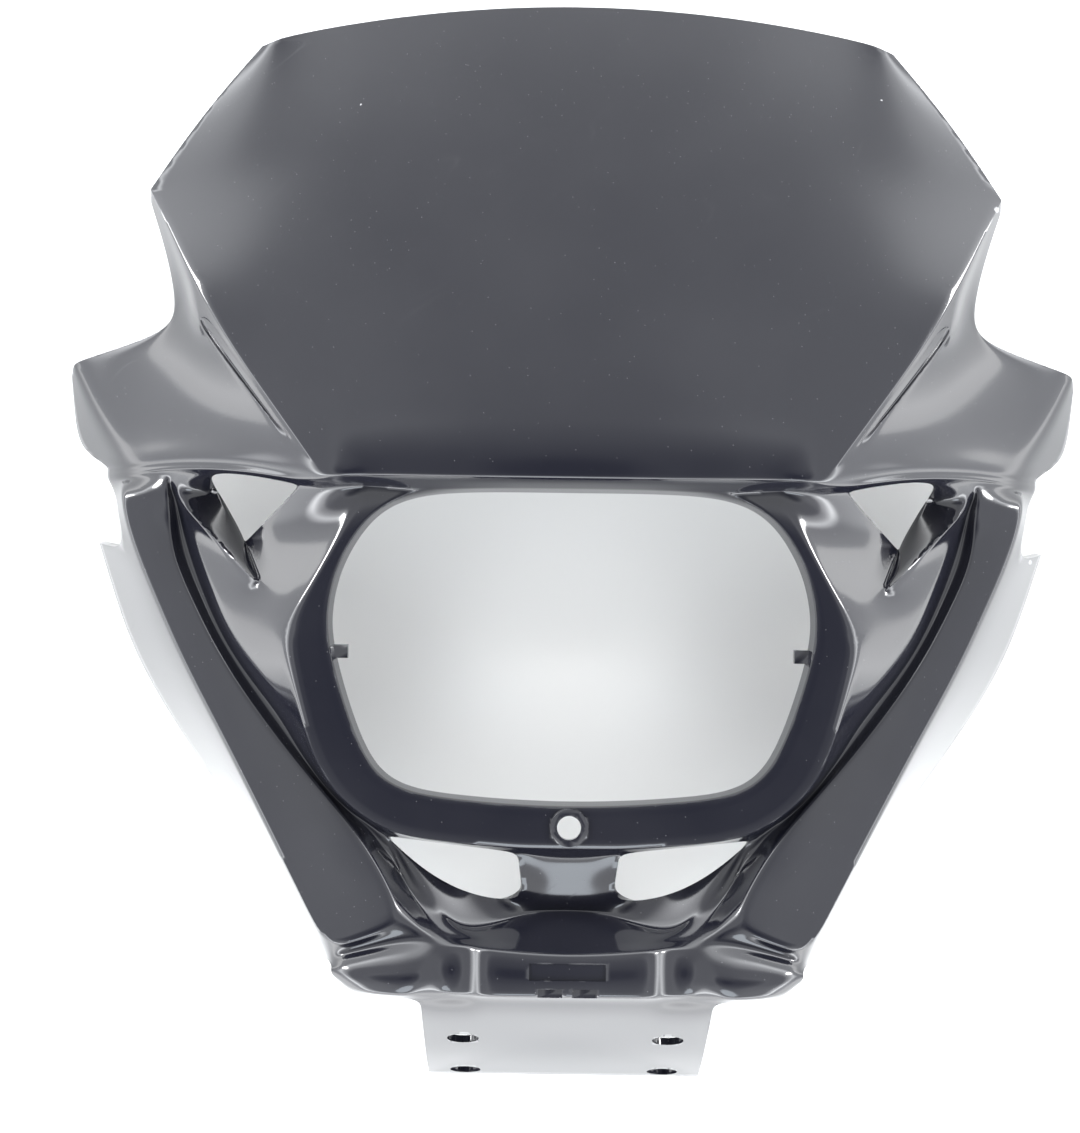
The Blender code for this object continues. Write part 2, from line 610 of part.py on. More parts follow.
def build_shell():
    """The mask as one solid."""
    grids, faces, creases = build_cage()
    cage = cage_mesh(grids, faces)
    turn_outwards(cage)
    mark_creases(cage, creases)
    mirror_cage(cage)
    shell = new_object(SHELL, cage)
    smooth = shell.modifiers.new("Smoothing", "SUBSURF")
    smooth.levels = SMOOTHING
    smooth.render_levels = SMOOTHING
    smooth.boundary_smooth = "PRESERVE_CORNERS"
    wall = shell.modifiers.new("Wall", "SOLIDIFY")
    wall.thickness = WALL * MM
    wall.offset = -1
    fix_shape(shell)
    return shell


def main():
    for old in list(bpy.data.objects):
        bpy.data.objects.remove(old)
    shell = build_shell()
    add_screw_boss(shell)
    add_tongue_bores(shell)
    add_pegs(shell)
    add_catch(shell)
    weld(shell)
    seat(shell)
    shell.data.materials.append(plastic("gloss_black", (0.012, 0.012, 0.014), 0.12))
    shell.data.shade_smooth()


main()
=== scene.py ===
"""Studio picture of a motorcycle headlight mask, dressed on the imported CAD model.

The mask lies face up: +Z points out of its face, +Y to the visor's top edge and X across.
The moulding is laid out again here as panels of its right half, in millimetres, and takes
the place of the CAD node with a finer surface.
"""
import logging
from dataclasses import dataclass, field
from enum import Enum
from functools import cache
from math import radians

import bmesh
import bpy
import numpy as np
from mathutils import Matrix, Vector


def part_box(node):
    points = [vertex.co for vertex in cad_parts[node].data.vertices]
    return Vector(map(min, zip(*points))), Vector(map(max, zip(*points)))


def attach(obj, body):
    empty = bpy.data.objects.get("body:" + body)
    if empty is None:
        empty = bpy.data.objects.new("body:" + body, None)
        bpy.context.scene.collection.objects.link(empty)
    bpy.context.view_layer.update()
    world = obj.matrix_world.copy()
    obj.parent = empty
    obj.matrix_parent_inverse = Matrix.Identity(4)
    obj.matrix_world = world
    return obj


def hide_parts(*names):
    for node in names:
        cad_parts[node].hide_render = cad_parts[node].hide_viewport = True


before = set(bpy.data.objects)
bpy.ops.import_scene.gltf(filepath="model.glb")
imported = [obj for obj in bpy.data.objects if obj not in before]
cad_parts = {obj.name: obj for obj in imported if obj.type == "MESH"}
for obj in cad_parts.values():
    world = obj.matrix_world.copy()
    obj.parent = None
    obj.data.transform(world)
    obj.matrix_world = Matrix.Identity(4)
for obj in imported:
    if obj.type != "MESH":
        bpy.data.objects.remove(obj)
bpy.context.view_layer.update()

Array = np.ndarray
Point = tuple[float, float, float]
Line = tuple[Point, ...]
FlatPoint = tuple[float, float]
MM = 0.001
WELD_GAP = 0.02
LINE_GAP = 0.05
CURVE_STEPS = 8
NODE = "headlight_mask"

log = logging.getLogger(NODE)


class Side(Enum):
    """The two halves of the mask, by the sign of X."""

    LEFT = -1
    RIGHT = 1


class Cut(Enum):
    """The two ways in which one solid changes another."""

    JOIN = "UNION"
    TAKE_OUT = "DIFFERENCE"


def points_of(*rows: tuple[float, ...]) -> Array:
    """Array with one point in each row."""
    return np.array(rows, float)


def through(points: Array, steps: int) -> Array:
    """Points spread evenly by length along a smooth curve.

    Between two knots the curve is a cubic whose slope at each knot is half the step from the
    knot before to the knot after.

    Args:
        points: Knots that the curve passes through.
        steps: Number of equal steps along it.

    Returns:
        The points, one more than the steps.
    """
    knots = np.asarray(points, float)
    padded = np.vstack([2 * knots[0] - knots[1], knots, 2 * knots[-1] - knots[-2]])
    before, start, end, after = (padded[i:len(padded) - 3 + i, None] for i in range(4))
    t = np.linspace(0, 1, CURVE_STEPS, endpoint=False)[:, None]
    curve = 0.5 * (2 * start + (end - before) * t + (2 * before - 5 * start + 4 * end - after) * t ** 2
                   + (3 * start - before - 3 * end + after) * t ** 3)
    path = np.vstack([curve.reshape(-1, 3), knots[-1:]])
    length = np.concatenate([[0], np.cumsum(np.linalg.norm(np.diff(path, axis=0), axis=1))])
    wanted = np.linspace(0, length[-1], steps + 1)
    return np.stack([np.interp(wanted, length, path[:, axis]) for axis in range(3)], axis=1)


def between(start: Array, end: Array, share: float, bulge: float = 0.0) -> Array:
    """Points between two lines.

    Each point is the start plus a share of the way to the end, raised by the bulge times
    four times the share times what is left of it, so that the bulge is full at the middle.

    Args:
        start: First line.
        end: Second line, with as many points.
        share: Share of the way from the first line to the second.
        bulge: Height added at half way.

    Returns:
        The line at that share.
    """
    points = start + (end - start) * share
    points[:, 2] += bulge * 4 * share * (1 - share)
    return points


def unit(steps: Array) -> Array:
    """Each step divided by its own length."""
    return steps / np.linalg.norm(steps, axis=-1, keepdims=True)


@dataclass
class Skin:
    """Panels, single faces and tight lines of the right half, before they are welded."""

    panels: list[Array] = field(default_factory=list)
    faces: list[Array] = field(default_factory=list)
    tight: list[tuple[Array, float]] = field(default_factory=list)

    def panel(self, *lines: Array) -> None:
        """Adds the panel stretched over lines that each have as many points."""
        self.panels.append(np.stack(lines, axis=1))

    def face(self, *points: Array) -> None:
        """Adds one face over its corners, in order."""
        self.faces.append(np.array(points, float))

    def tighten(self, line: Array, weight: float) -> None:
        """Keeps a line tighter than the smoothing would, from 0, not at all, to 1, sharp."""
        self.tight.append((line, weight))

    def corners(self) -> list[Array]:
        """Gathers the faces of all panels and the single faces.

        Returns:
            Corner array of every face, four corners to a panel's face.
        """
        quads = [np.stack([grid[:-1, :-1], grid[:-1, 1:], grid[1:, 1:], grid[1:, :-1]], axis=2)
                 for grid in self.panels]
        return [corner for quad in quads for corner in quad.reshape(-1, 4, 3)] + self.faces

    def welded(self, name: str) -> bpy.types.Mesh:
        """Both halves as one welded mesh, in millimetres, with its tight lines marked.

        The left half is the right one with X turned round. Points nearer than the weld gap
        become one.

        Args:
            name: Name of the mesh.

        Returns:
            The mesh, its faces turned out of the mask's face.
        """
        half = self.corners()
        sizes = np.array([len(corner) for corner in half])
        places = np.vstack(half)
        ends = np.cumsum(sizes)
        right = [tuple(range(end - size, end)) for end, size in zip(ends, sizes)]
        left = [tuple(int(ends[-1]) + corner for corner in reversed(face)) for face in right]
        mesh = bpy.data.meshes.new(name)
        mesh.from_pydata(np.vstack([places, places * (-1, 1, 1)]), [], right + left)
        welding = bmesh.new()
        welding.from_mesh(mesh)
        bmesh.ops.remove_doubles(welding, verts=welding.verts, dist=WELD_GAP)
        bmesh.ops.recalc_face_normals(welding, faces=welding.faces)
        highest = max(welding.faces, key=lambda face: face.calc_center_median().z)
        if highest.normal.z < 0:
            bmesh.ops.reverse_faces(welding, faces=welding.faces)
        welding.to_mesh(mesh)
        welding.free()
        self.mark(mesh)
        return mesh

    def mark(self, mesh: bpy.types.Mesh) -> None:
        """Writes the weight of each tight line to the mesh's edges that lie on it.

        An edge lies on a line where both its ends are within the line gap of the line's points.

        Args:
            mesh: The welded mesh, which is changed.
        """
        places = np.empty(len(mesh.vertices) * 3)
        mesh.vertices.foreach_get("co", places)
        places = places.reshape(-1, 3)
        places[:, 0] = abs(places[:, 0])
        ends = np.empty(len(mesh.edges) * 2, int)
        mesh.edges.foreach_get("vertices", ends)
        ends = ends.reshape(-1, 2)
        weights = np.zeros(len(mesh.edges))
        for line, weight in self.tight:
            gap = np.linalg.norm(places[:, None] - line[None], axis=2).min(axis=1)
            on_line = gap < LINE_GAP
            weights[on_line[ends].all(axis=1)] = weight
        layer = mesh.attributes.new("crease_edge", "FLOAT", "EDGE")
        layer.data.foreach_set("value", weights)


@dataclass
class Visor:
    """Broad shield above the brow, from its centre line out to its side edge and the ridge."""

    top_y: float = 235.7
    lean: float = 0.37
    arch: float = 0.00045
    bend: float = 20.0
    crown: float = 6.0
    brow_y: float = 38.0
    brow_roll: float = 4.0
    brow_height: float = 113.5
    crease_top: FlatPoint = (121.0, 221.5)
    crease_foot: FlatPoint = (84.0, 38.5)
    top_corner: Point = (132.5, 216.8, 41.0)
    side_corner: Point = (176.8, 154.6, 54.0)
    ridge_middle: Point = (146.5, 99.5, 83.0)
    ridge_foot: Point = (101.5, 37.5, 107.0)
    ridge_steps: int = 9
    edge_steps: int = 3
    edge_bulge: float = 1.26
    facet_bulge: float = 1.5
    column_shares: tuple[float, ...] = (0.0, 0.38, 0.74, 1.0)
    row_power: float = 1.25
    ridge_weight: float = 0.6

    def height(self, y: Array) -> Array:
        """Height of the centre line.

        Past the brow's roll it falls by the lean times the way up, less what a bend of the
        given length rounds off, and by half the arch times the way up squared.

        Args:
            y: Places along the centre line.

        Returns:
            The height at each.
        """
        rise = np.maximum(y - self.brow_y - self.brow_roll, 0)
        lean = self.lean * (rise - self.bend * (1 - np.exp(-rise / self.bend)))
        return self.brow_height - lean - self.arch / 2 * rise ** 2

    def ridge(self) -> Array:
        """Ridge from the side corner in to the brow, a smooth curve through three points."""
        return through(points_of(self.side_corner, self.ridge_middle, self.ridge_foot), self.ridge_steps)

    def surface(self) -> Array:
        """Grid of the visor, 13 rows down and 6 columns out.

        A column is a share of the soft crease's X, with Y moving from the centre line's to
        the crease's by the share squared, and the crown times the share squared taken off
        the height. The rows lie closer at the brow, by a power of the way that is left. The
        outermost facet runs straight from the crease to the edge, with a small bulge.

        Returns:
            The grid.
        """
        share = np.linspace(0, 1, self.edge_steps + 1)[:, None]
        side_edge = np.array(self.top_corner) * (1 - share) + np.array(self.side_corner) * share
        side_edge[:, :2] += self.edge_bulge * 4 * share * (1 - share)
        outer = np.vstack([side_edge[:-1], self.ridge()])
        ease = 1 - (1 - np.linspace(0, 1, len(outer))) ** self.row_power
        centre_y = self.top_y + (self.brow_y - self.top_y) * ease
        top, foot = np.array(self.crease_top), np.array(self.crease_foot)
        crease = top + (foot - top) * ease[:, None]
        out = np.array(self.column_shares)
        x = crease[:, :1] * out
        y = centre_y[:, None] + (crease[:, 1:] - centre_y[:, None]) * out ** 2
        middle = np.stack([x, y, self.height(y) - self.crown * out ** 2], axis=2)
        facet = between(middle[:, -1], outer, 0.5, self.facet_bulge)
        return np.concatenate([middle, facet[:, None], outer[:, None]], axis=1)


@dataclass
class Wing:
    """Side wing outside the ridge, with its return wall, its leaf recess and its outer band."""

    corner_drop: Point = (0.6, -4.5, -5.0)
    waist_top: Point = (170.0, 128.0, 50.0)
    waist: Point = (166.0, 107.5, 48.5)
    edge: Line = ((168.4, 99.3, 46.5), (177.5, 94.2, 41.0), (195.0, 89.3, 30.0))
    tip: Point = (213.2, 84.4, 19.0)
    crease: Line = ((203.6, 64.0, 28.0), (192.8, 49.5, 38.0), (187.5, 39.5, 46.0))
    crease_lift: float = 0.4
    band_edge: Line = ((215.0, 79.0, 13.0), (214.6, 62.0, 6.0), (212.4, 47.8, 4.0), (197.0, 40.5, 29.0))
    band_first: int = 6
    sag: float = 6.0
    sag_shares: tuple[float, ...] = (0, 0, 0.3, 1, 1.3, 1.3, 1.1, 0.7, 0.2, -0.4)
    brow_arch: float = 3.2
    arch_shares: tuple[float, ...] = (0, 0, 0, 0, 0, 0, 0, 0, 0.5, 1.0)
    arch_power: float = 0.8
    column_shares: tuple[float, ...] = (0.33, 0.56, 0.78)
    rim_share: float = 0.1
    leaf_first: int = 4
    leaf_last: int = 8
    leaf_gap: float = 2.4
    leaf_widths: tuple[float, ...] = (5.4, 5.6, 5.0, 3.8, 1.8)
    leaf_depths: tuple[FlatPoint, ...] = ((1.1, 1.7), (1.1, 1.7), (1.1, 1.6), (0.9, 1.3), (0.6, 0.8))
    leaf_draft: float = 0.5
    rim_weight: float = 0.8
    floor_weight: float = 0.6
    edge_weight: float = 0.35

    @property
    def leaf_rows(self) -> slice:
        """Rows of the ridge that the leaf recess runs along."""
        return slice(self.leaf_first, self.leaf_last + 1)

    def outer(self, side_corner: Point) -> Array:
        """Silhouette from the side corner to the tip, then the crease down to the arm.

        The crease's last point is lifted by a share of the brow's arch.

        Args:
            side_corner: The visor's side corner.

        Returns:
            The line, with as many points as the ridge.
        """
        corner = np.array(side_corner) + self.corner_drop
        line = np.vstack([corner, self.waist_top, self.waist, self.edge, self.tip, self.crease])
        line[-1, 1] += self.brow_arch * self.crease_lift
        return line

    def surface(self, visor: Visor) -> Array:
        """Grid of the wing, 10 rows down the ridge and 7 columns out.

        The second and third column are the rims of the leaf recess, a set way out from the
        ridge. The others are shares of the way to the outer line, sagging by four times the
        share times what is left of it, and arched up over the pockets in the same way.

        Args:
            visor: The visor that the wing grows from.

        Returns:
            The grid.
        """
        ridge = visor.ridge()
        outer = self.outer(visor.side_corner)
        outward = (outer - ridge) / np.linalg.norm((outer - ridge)[:, :2], axis=1, keepdims=True)
        rim = ridge.copy()
        rim[self.leaf_rows] += self.leaf_gap * outward[self.leaf_rows]
        far_rim = between(ridge, outer, self.rim_share)
        widths = np.array(self.leaf_widths)[:, None]
        far_rim[self.leaf_rows] = rim[self.leaf_rows] + outward[self.leaf_rows] * widths
        sag = self.sag * np.array(self.sag_shares)
        arch = self.brow_arch * np.array(self.arch_shares)
        columns = [ridge, rim, far_rim]
        for share in self.column_shares:
            column = between(ridge, outer, share)
            column[:, 2] -= sag * 4 * share * (1 - share)
            column[:, 1] += arch * 4 * share * (1 - share) ** self.arch_power
            columns.append(column)
        return np.stack(columns + [outer], axis=1)

    def leaf(self, surface: Array) -> Array:
        """Floor of the leaf recess: its rims moved in by the draft and down by the depth.

        Args:
            surface: Grid of the wing, whose second and third columns are the rims.

        Returns:
            Grid of the floor, two columns wide.
        """
        rims = surface[self.leaf_rows, 1:3]
        across = unit(rims[:, 1] - rims[:, 0])
        along = unit(np.gradient(rims[:, 0], axis=0))
        down = np.cross(across, along)
        down *= -np.sign(down[:, 2:])
        floor = rims + np.array(self.leaf_depths)[:, :, None] * down[:, None]
        floor[:, 0] += self.leaf_draft * across
        floor[:, 1] -= self.leaf_draft * across
        floor[0] += self.leaf_draft * along[0]
        floor[-1] -= self.leaf_draft * along[-1]
        return floor

    def add_to(self, skin: Skin, surface: Array) -> None:
        """Adds the wing, its leaf recess and its band to the skin.

        Args:
            skin: The skin, which is changed.
            surface: Grid of the wing.
        """
        rims = surface[self.leaf_rows, 1:3]
        leaf = self.leaf(surface)
        skin.panels += [surface[:, :2], surface[:, 2:], surface[:self.leaf_first + 1, 1:3],
                        surface[self.leaf_last:, 1:3], leaf]
        skin.panel(rims[:, 0], leaf[:, 0])
        skin.panel(rims[:, 1], leaf[:, 1])
        skin.face(rims[0, 0], rims[0, 1], leaf[0, 1], leaf[0, 0])
        skin.face(rims[-1, 0], rims[-1, 1], leaf[-1, 1], leaf[-1, 0])
        skin.panel(surface[self.band_first:, -1], np.array(self.band_edge))
        for line in (rims[:, 0], rims[:, 1], rims[0]):
            skin.tighten(line, self.rim_weight)
        skin.tighten(leaf[:, 0], self.floor_weight)
        skin.tighten(leaf[:, 1], self.floor_weight)
        skin.tighten(surface[self.band_first:, -1], self.edge_weight)


@dataclass
class Brow:
    """Lip below the visor and the wings: round at the centre, a groove and a lip outside."""

    centre: tuple[FlatPoint, ...] = ((-2.6, -0.2), (-4.6, -3.0), (-6.8, -11.0))
    side: tuple[FlatPoint, ...] = ((-2.0, -3.2), (-4.4, -1.6), (-6.0, -4.0))
    blend: float = 26.0
    blend_start: float = 95.5
    ring_draft: float = 1.5
    lip_weight: float = 0.45
    groove_weight: float = 0.3
    edge_weight: float = 0.5

    def surface(self, visor: Array, wing: Array, band: Array) -> Array:
        """Grid of the brow, 4 rows down and 12 columns out.

        A row is the first one moved by the centre's step and the side's step, mixed by a
        share that grows evenly with X from none to all over the blend.

        Args:
            visor: Grid of the visor.
            wing: Grid of the wing.
            band: Outer edge of the wing's band.

        Returns:
            The grid.
        """
        first = np.vstack([visor[-1], wing[-1, 2:], band[-1:]])
        share = np.clip((first[:, :1] - self.blend_start) / self.blend, 0, 1)
        rows = [first]
        for centre, side in zip(self.centre, self.side):
            rows.append(first + np.array([0, *centre]) * (1 - share) + np.array([0, *side]) * share)
        rows[-1][2, 1] -= self.ring_draft
        return np.stack(rows)

    def add_to(self, skin: Skin, surface: Array) -> None:
        """Adds the brow to the skin.

        Args:
            skin: The skin, which is changed.
            surface: Grid of the brow.
        """
        skin.panels.append(surface.transpose(1, 0, 2))
        skin.tighten(surface[1, :6], self.lip_weight)
        skin.tighten(surface[2, 6:11], self.groove_weight)
        skin.tighten(surface[-1, :7], self.edge_weight)


@dataclass
class HeadlightRing:
    """Flat ring round the headlight's opening, with a return flange into the opening."""

    inner_line: tuple[FlatPoint, ...] = (
        (78.5, 23.0), (88.0, 11.5), (95.5, -3.0), (99.1, -22.0), (96.3, -38.0), (91.5, -54.5),
        (86.0, -70.0), (78.5, -84.0), (66.0, -91.3), (46.0, -94.0), (22.0, -95.9), (0.0, -96.5))
    outer_line: tuple[FlatPoint, ...] = (
        (90.0, 18.5), (97.5, 4.5), (106.0, -11.0), (114.8, -28.0), (112.3, -42.0), (108.0, -60.0),
        (103.5, -76.0), (94.5, -92.0), (76.0, -106.6), (52.0, -111.2), (21.0, -112.6), (0.0, -113.0))
    height: float = 99.0
    depth: float = 12.0
    draft: float = 1.5
    inner_weight: float = 0.7
    corner_weight: float = 0.5
    outer_weight: float = 0.6

    def inner(self, brow: Array) -> Array:
        """Inner edge from the brow down to the centre line."""
        level = np.full((len(self.inner_line), 1), self.height)
        return np.vstack([brow[-1, :3], np.hstack([np.array(self.inner_line), level])])

    def outer(self, brow: Array) -> Array:
        """Outer edge from the brow down to the centre line."""
        level = np.full((len(self.outer_line), 1), self.height)
        return np.vstack([brow[-1, 3], np.hstack([np.array(self.outer_line), level])])

    def below(self, points: Line) -> Array:
        """Points whose third number is their depth below the ring."""
        return np.array(points) * (1, 1, -1) + (0, 0, self.height)

    def flange(self, inner: Array) -> Array:
        """Rear edge of the return flange: the inner edge sunk, and moved in by the draft.

        Args:
            inner: Inner edge of the ring.

        Returns:
            The rear edge.
        """
        centre = np.array([0.0, (inner[0, 1] + inner[-1, 1]) / 2, 0.0])
        back = inner + unit((centre - inner) * (1, 1, 0)) * self.draft
        back[:, 2] = inner[:, 2] - self.depth
        return back

    def add_to(self, skin: Skin, brow: Array) -> None:
        """Adds the ring's face and its return flange to the skin.

        Args:
            skin: The skin, which is changed.
            brow: Grid of the brow.
        """
        inner, outer = self.inner(brow), self.outer(brow)
        skin.panel(inner, self.flange(inner))
        skin.panel(inner[2:], outer)
        skin.tighten(inner, self.inner_weight)
        skin.tighten(outer[:5], self.corner_weight)
        skin.tighten(outer[4:], self.outer_weight)


@dataclass
class Pocket:
    """Pocket beside the ring: the rib up to the ring's corner, its groove and the vent."""

    crest: Line = (
        (165.3, 28.0, 58.5), (154.8, 17.0, 63.5), (144.0, 7.0, 70.0), (133.5, -3.0, 77.5),
        (123.3, -12.5, 87.0))
    groove_head: Line = (
        (167.0, 31.5, 56.0), (163.5, 24.5, 54.5), (159.5, 15.5, 56.0), (155.0, 4.0, 59.5),
        (147.9, -13.5, 65.5), (138.0, -31.5, 76.0), (124.5, -47.5, 83.0))
    groove_tail: Line = (
        (112.0, -61.0, 12.0), (105.5, -77.5, 11.0), (95.5, -94.5, 11.0), (73.5, -109.6, 10.0),
        (67.5, -128.0, 14.0))
    vent_tip: Point = (135.0, 8.5, 60.0)
    vent_side: Line = ((149.0, 32.0, 54.0), (145.5, 26.5, 51.0), (142.0, 20.5, 52.0), (138.2, 14.5, 55.0))
    vent_inner: Point = (121.5, 20.5, 79.0)
    groove_weight: float = 0.6
    crest_weight: float = 0.7
    foot_weight: float = 0.6

    def groove(self, ring: HeadlightRing, scoop_end: Array) -> Array:
        """Line along the foot of the arm's inner wall, from the brow down to the beam."""
        return np.vstack([self.groove_head, ring.below(self.groove_tail), scoop_end])

    def add_to(self, skin: Skin, brow: Array, outer: Array, groove: Array) -> None:
        """Adds the wall that falls from the ring to the vent, and the two sides of the rib.

        The wall's two middle lines are thirds of the way from the ring to the vent, but for
        their first point, which lies on the brow.

        Args:
            skin: The skin, which is changed.
            brow: Grid of the brow.
            outer: Outer edge of the ring.
            groove: Line along the foot of the arm's inner wall.
        """
        crest = np.array(self.crest)
        foot = np.array([brow[-1, 6], self.vent_inner, self.vent_tip, crest[4]])
        steps = [outer[:4]]
        for share, top in ((1 / 3, brow[-1, 4]), (2 / 3, brow[-1, 5])):
            step = between(outer[:4], foot, share)
            step[0] = top
            steps.append(step)
        skin.panel(*steps, foot)
        skin.face(outer[3], steps[1][3], steps[2][3], crest[4], outer[4])
        skin.panel(groove[:11], np.vstack([crest, outer[4:10]]))
        vent_side = np.vstack([self.vent_side, self.vent_tip])
        skin.panel(vent_side, crest)
        skin.face(brow[-1, 8], groove[0], crest[0], vent_side[0])
        skin.tighten(groove, self.groove_weight)
        skin.tighten(crest, self.crest_weight)
        skin.tighten(foot, self.foot_weight)


@dataclass
class Arm:
    """Arm from the brow down to the beam, with its crowned face and its side flange."""

    inner_line: Line = (
        (165.0, 3.0, 60.5), (144.0, -37.0, 73.0), (118.5, -71.0, 83.0), (93.0, -98.5, 92.0),
        (71.0, -129.0, 100.0), (66.0, -142.5, 104.0))
    outer_line: Line = (
        (180.5, 3.0, 56.5), (161.0, -37.0, 69.0), (140.0, -74.0, 79.5), (121.0, -109.0, 88.5),
        (104.0, -140.0, 98.0), (96.0, -154.0, 103.5))
    top_inner: Line = ((167.3, 28.5, 59.5), (166.8, 18.5, 56.5))
    top_outer: Line = ((187.2, 28.5, 54.5), (186.2, 18.5, 52.0))
    steps: int = 9
    crown: float = 0.8
    slot_share: float = 0.55
    slot_depths: tuple[float, ...] = (0.0, 3.0, 5.0, 6.5, 7.5, 8.5, 9.5, 9.0, 7.0, 5.0, 2.0, 0.0, 0.0)
    slot_end: float = 2.2
    flange_rear: Line = (
        (203.9, 7.8, 2.0), (188.5, -38.0, 2.0), (164.5, -78.0, 1.0), (138.5, -115.0, 0.5),
        (118.5, -151.0, 0.2), (108.7, -172.0, 0.0))
    relief_edge: Line = ((191.5, 28.0, 40.0), (190.4, 19.0, 41.0))
    flange_bulge: float = 0.8
    flange_share: float = 0.22
    inner_weight: float = 0.5
    outer_weight: float = 0.65

    def surface(self, brow: Array) -> Array:
        """Grid of the arm's face, 13 rows down and 3 columns out, crowned at its middle.

        Args:
            brow: Grid of the brow.

        Returns:
            The grid.
        """
        inner = np.vstack([brow[-1, 9], self.top_inner, through(self.inner_line, self.steps)])
        outer = np.vstack([brow[-1, 10], self.top_outer, through(self.outer_line, self.steps)])
        return np.stack([inner, between(inner, outer, 0.5, self.crown), outer], axis=1)

    def flange(self, surface: Array, brow: Array) -> tuple[Array, Array]:
        """Edges of the side flange, which bulges a little below the arm's outer crease.

        Args:
            surface: Grid of the arm's face.
            brow: Grid of the brow.

        Returns:
            Its near edge, all along the arm, and its rear edge below the step.
        """
        crease = surface[3:, -1]
        rear = through(self.flange_rear, len(crease) - 1)
        near = between(crease, rear, self.flange_share)
        near[:, 0] += self.flange_bulge
        return np.vstack([brow[-1, 11], self.relief_edge, near]), rear

    def add_to(self, skin: Skin, surface: Array, brow: Array, groove: Array) -> tuple[Array, Array]:
        """Adds the arm's face, its inner wall and its flange.

        The shoulder is a share of the way up the inner wall, sunk by the slot's depths.

        Args:
            skin: The skin, which is changed.
            surface: Grid of the arm's face.
            brow: Grid of the brow.
            groove: Line along the foot of the inner wall.

        Returns:
            The shoulder, a line along the middle of the inner wall, and the flange's near edge.
        """
        shoulder = between(groove, surface[:, 0], self.slot_share)
        shoulder[:, 2] -= self.slot_depths
        shoulder[-1, 2] -= self.slot_end
        skin.panel(groove, shoulder, surface[:, 0])
        skin.face(brow[-1, 8], brow[-1, 9], shoulder[0], groove[0])
        skin.panels.append(surface[1:])
        skin.face(surface[0, 0], surface[1, 0], surface[1, 1], surface[1, 2], surface[0, 2])
        near, rear = self.flange(surface, brow)
        skin.panel(surface[:, -1], near)
        skin.panel(near[3:], rear)
        skin.tighten(surface[:, 0], self.inner_weight)
        skin.tighten(surface[:, 2], self.outer_weight)
        return shoulder, near


@dataclass
class LowerBar:
    """Centre post, scoop and the bar's lower edge between the ring and the beam."""

    post_rows: tuple[tuple[float, float, float, float], ...] = (
        (20.5, -115.0, 4.0, 6.0), (19.0, -125.0, 6.5, 9.5), (17.5, -136.0, 9.5, 12.5))
    bar_back: Point = (51.0, -112.2, 10.0)
    scoop_lip: Line = ((41.0, -133.6, 14.5), (59.5, -123.0, 13.5))
    scoop_floor: Line = (
        (0.0, -139.5, 15.0), (17.0, -139.5, 14.0), (35.0, -147.0, 4.0), (51.0, -144.0, 4.5))
    post_weight: float = 0.4
    end_weight: float = 0.5
    floor_weight: float = 0.6

    def add_to(self, skin: Skin, outer: Array, groove: Array, scoop_end: Array, ring: HeadlightRing) -> None:
        """Adds the post, the bar's lower edge and the scoops beside the post.

        Each row of the post gives its half width, its place and the depths of its side and
        its middle below the ring.

        Args:
            skin: The skin, which is changed.
            outer: Outer edge of the ring.
            groove: Line along the foot of the arm's inner wall.
            scoop_end: Line between the scoop and the beam.
            ring: The ring that the depths count from.
        """
        rows = np.array(self.post_rows)
        side = ring.below(rows[:, :3])
        middle = np.column_stack([0 * rows[:, 0], rows[:, 1], ring.height - rows[:, 3]])
        skin.panel(np.vstack([outer[11], side]), np.vstack([outer[12], middle]))
        skin.panel(outer[9:12], np.vstack([groove[10], ring.below((self.bar_back,)), side[0]]))
        lip = ring.below(self.scoop_lip)
        floor = ring.below(self.scoop_floor)
        top = np.vstack([groove[10], lip[1], lip[0], side[2], middle[2]])
        skin.panel(top, np.vstack([groove[11], floor[::-1]]), scoop_end)
        skin.tighten(np.vstack([outer[11], side]), self.post_weight)
        skin.tighten(scoop_end, self.end_weight)
        skin.tighten(floor, self.floor_weight)


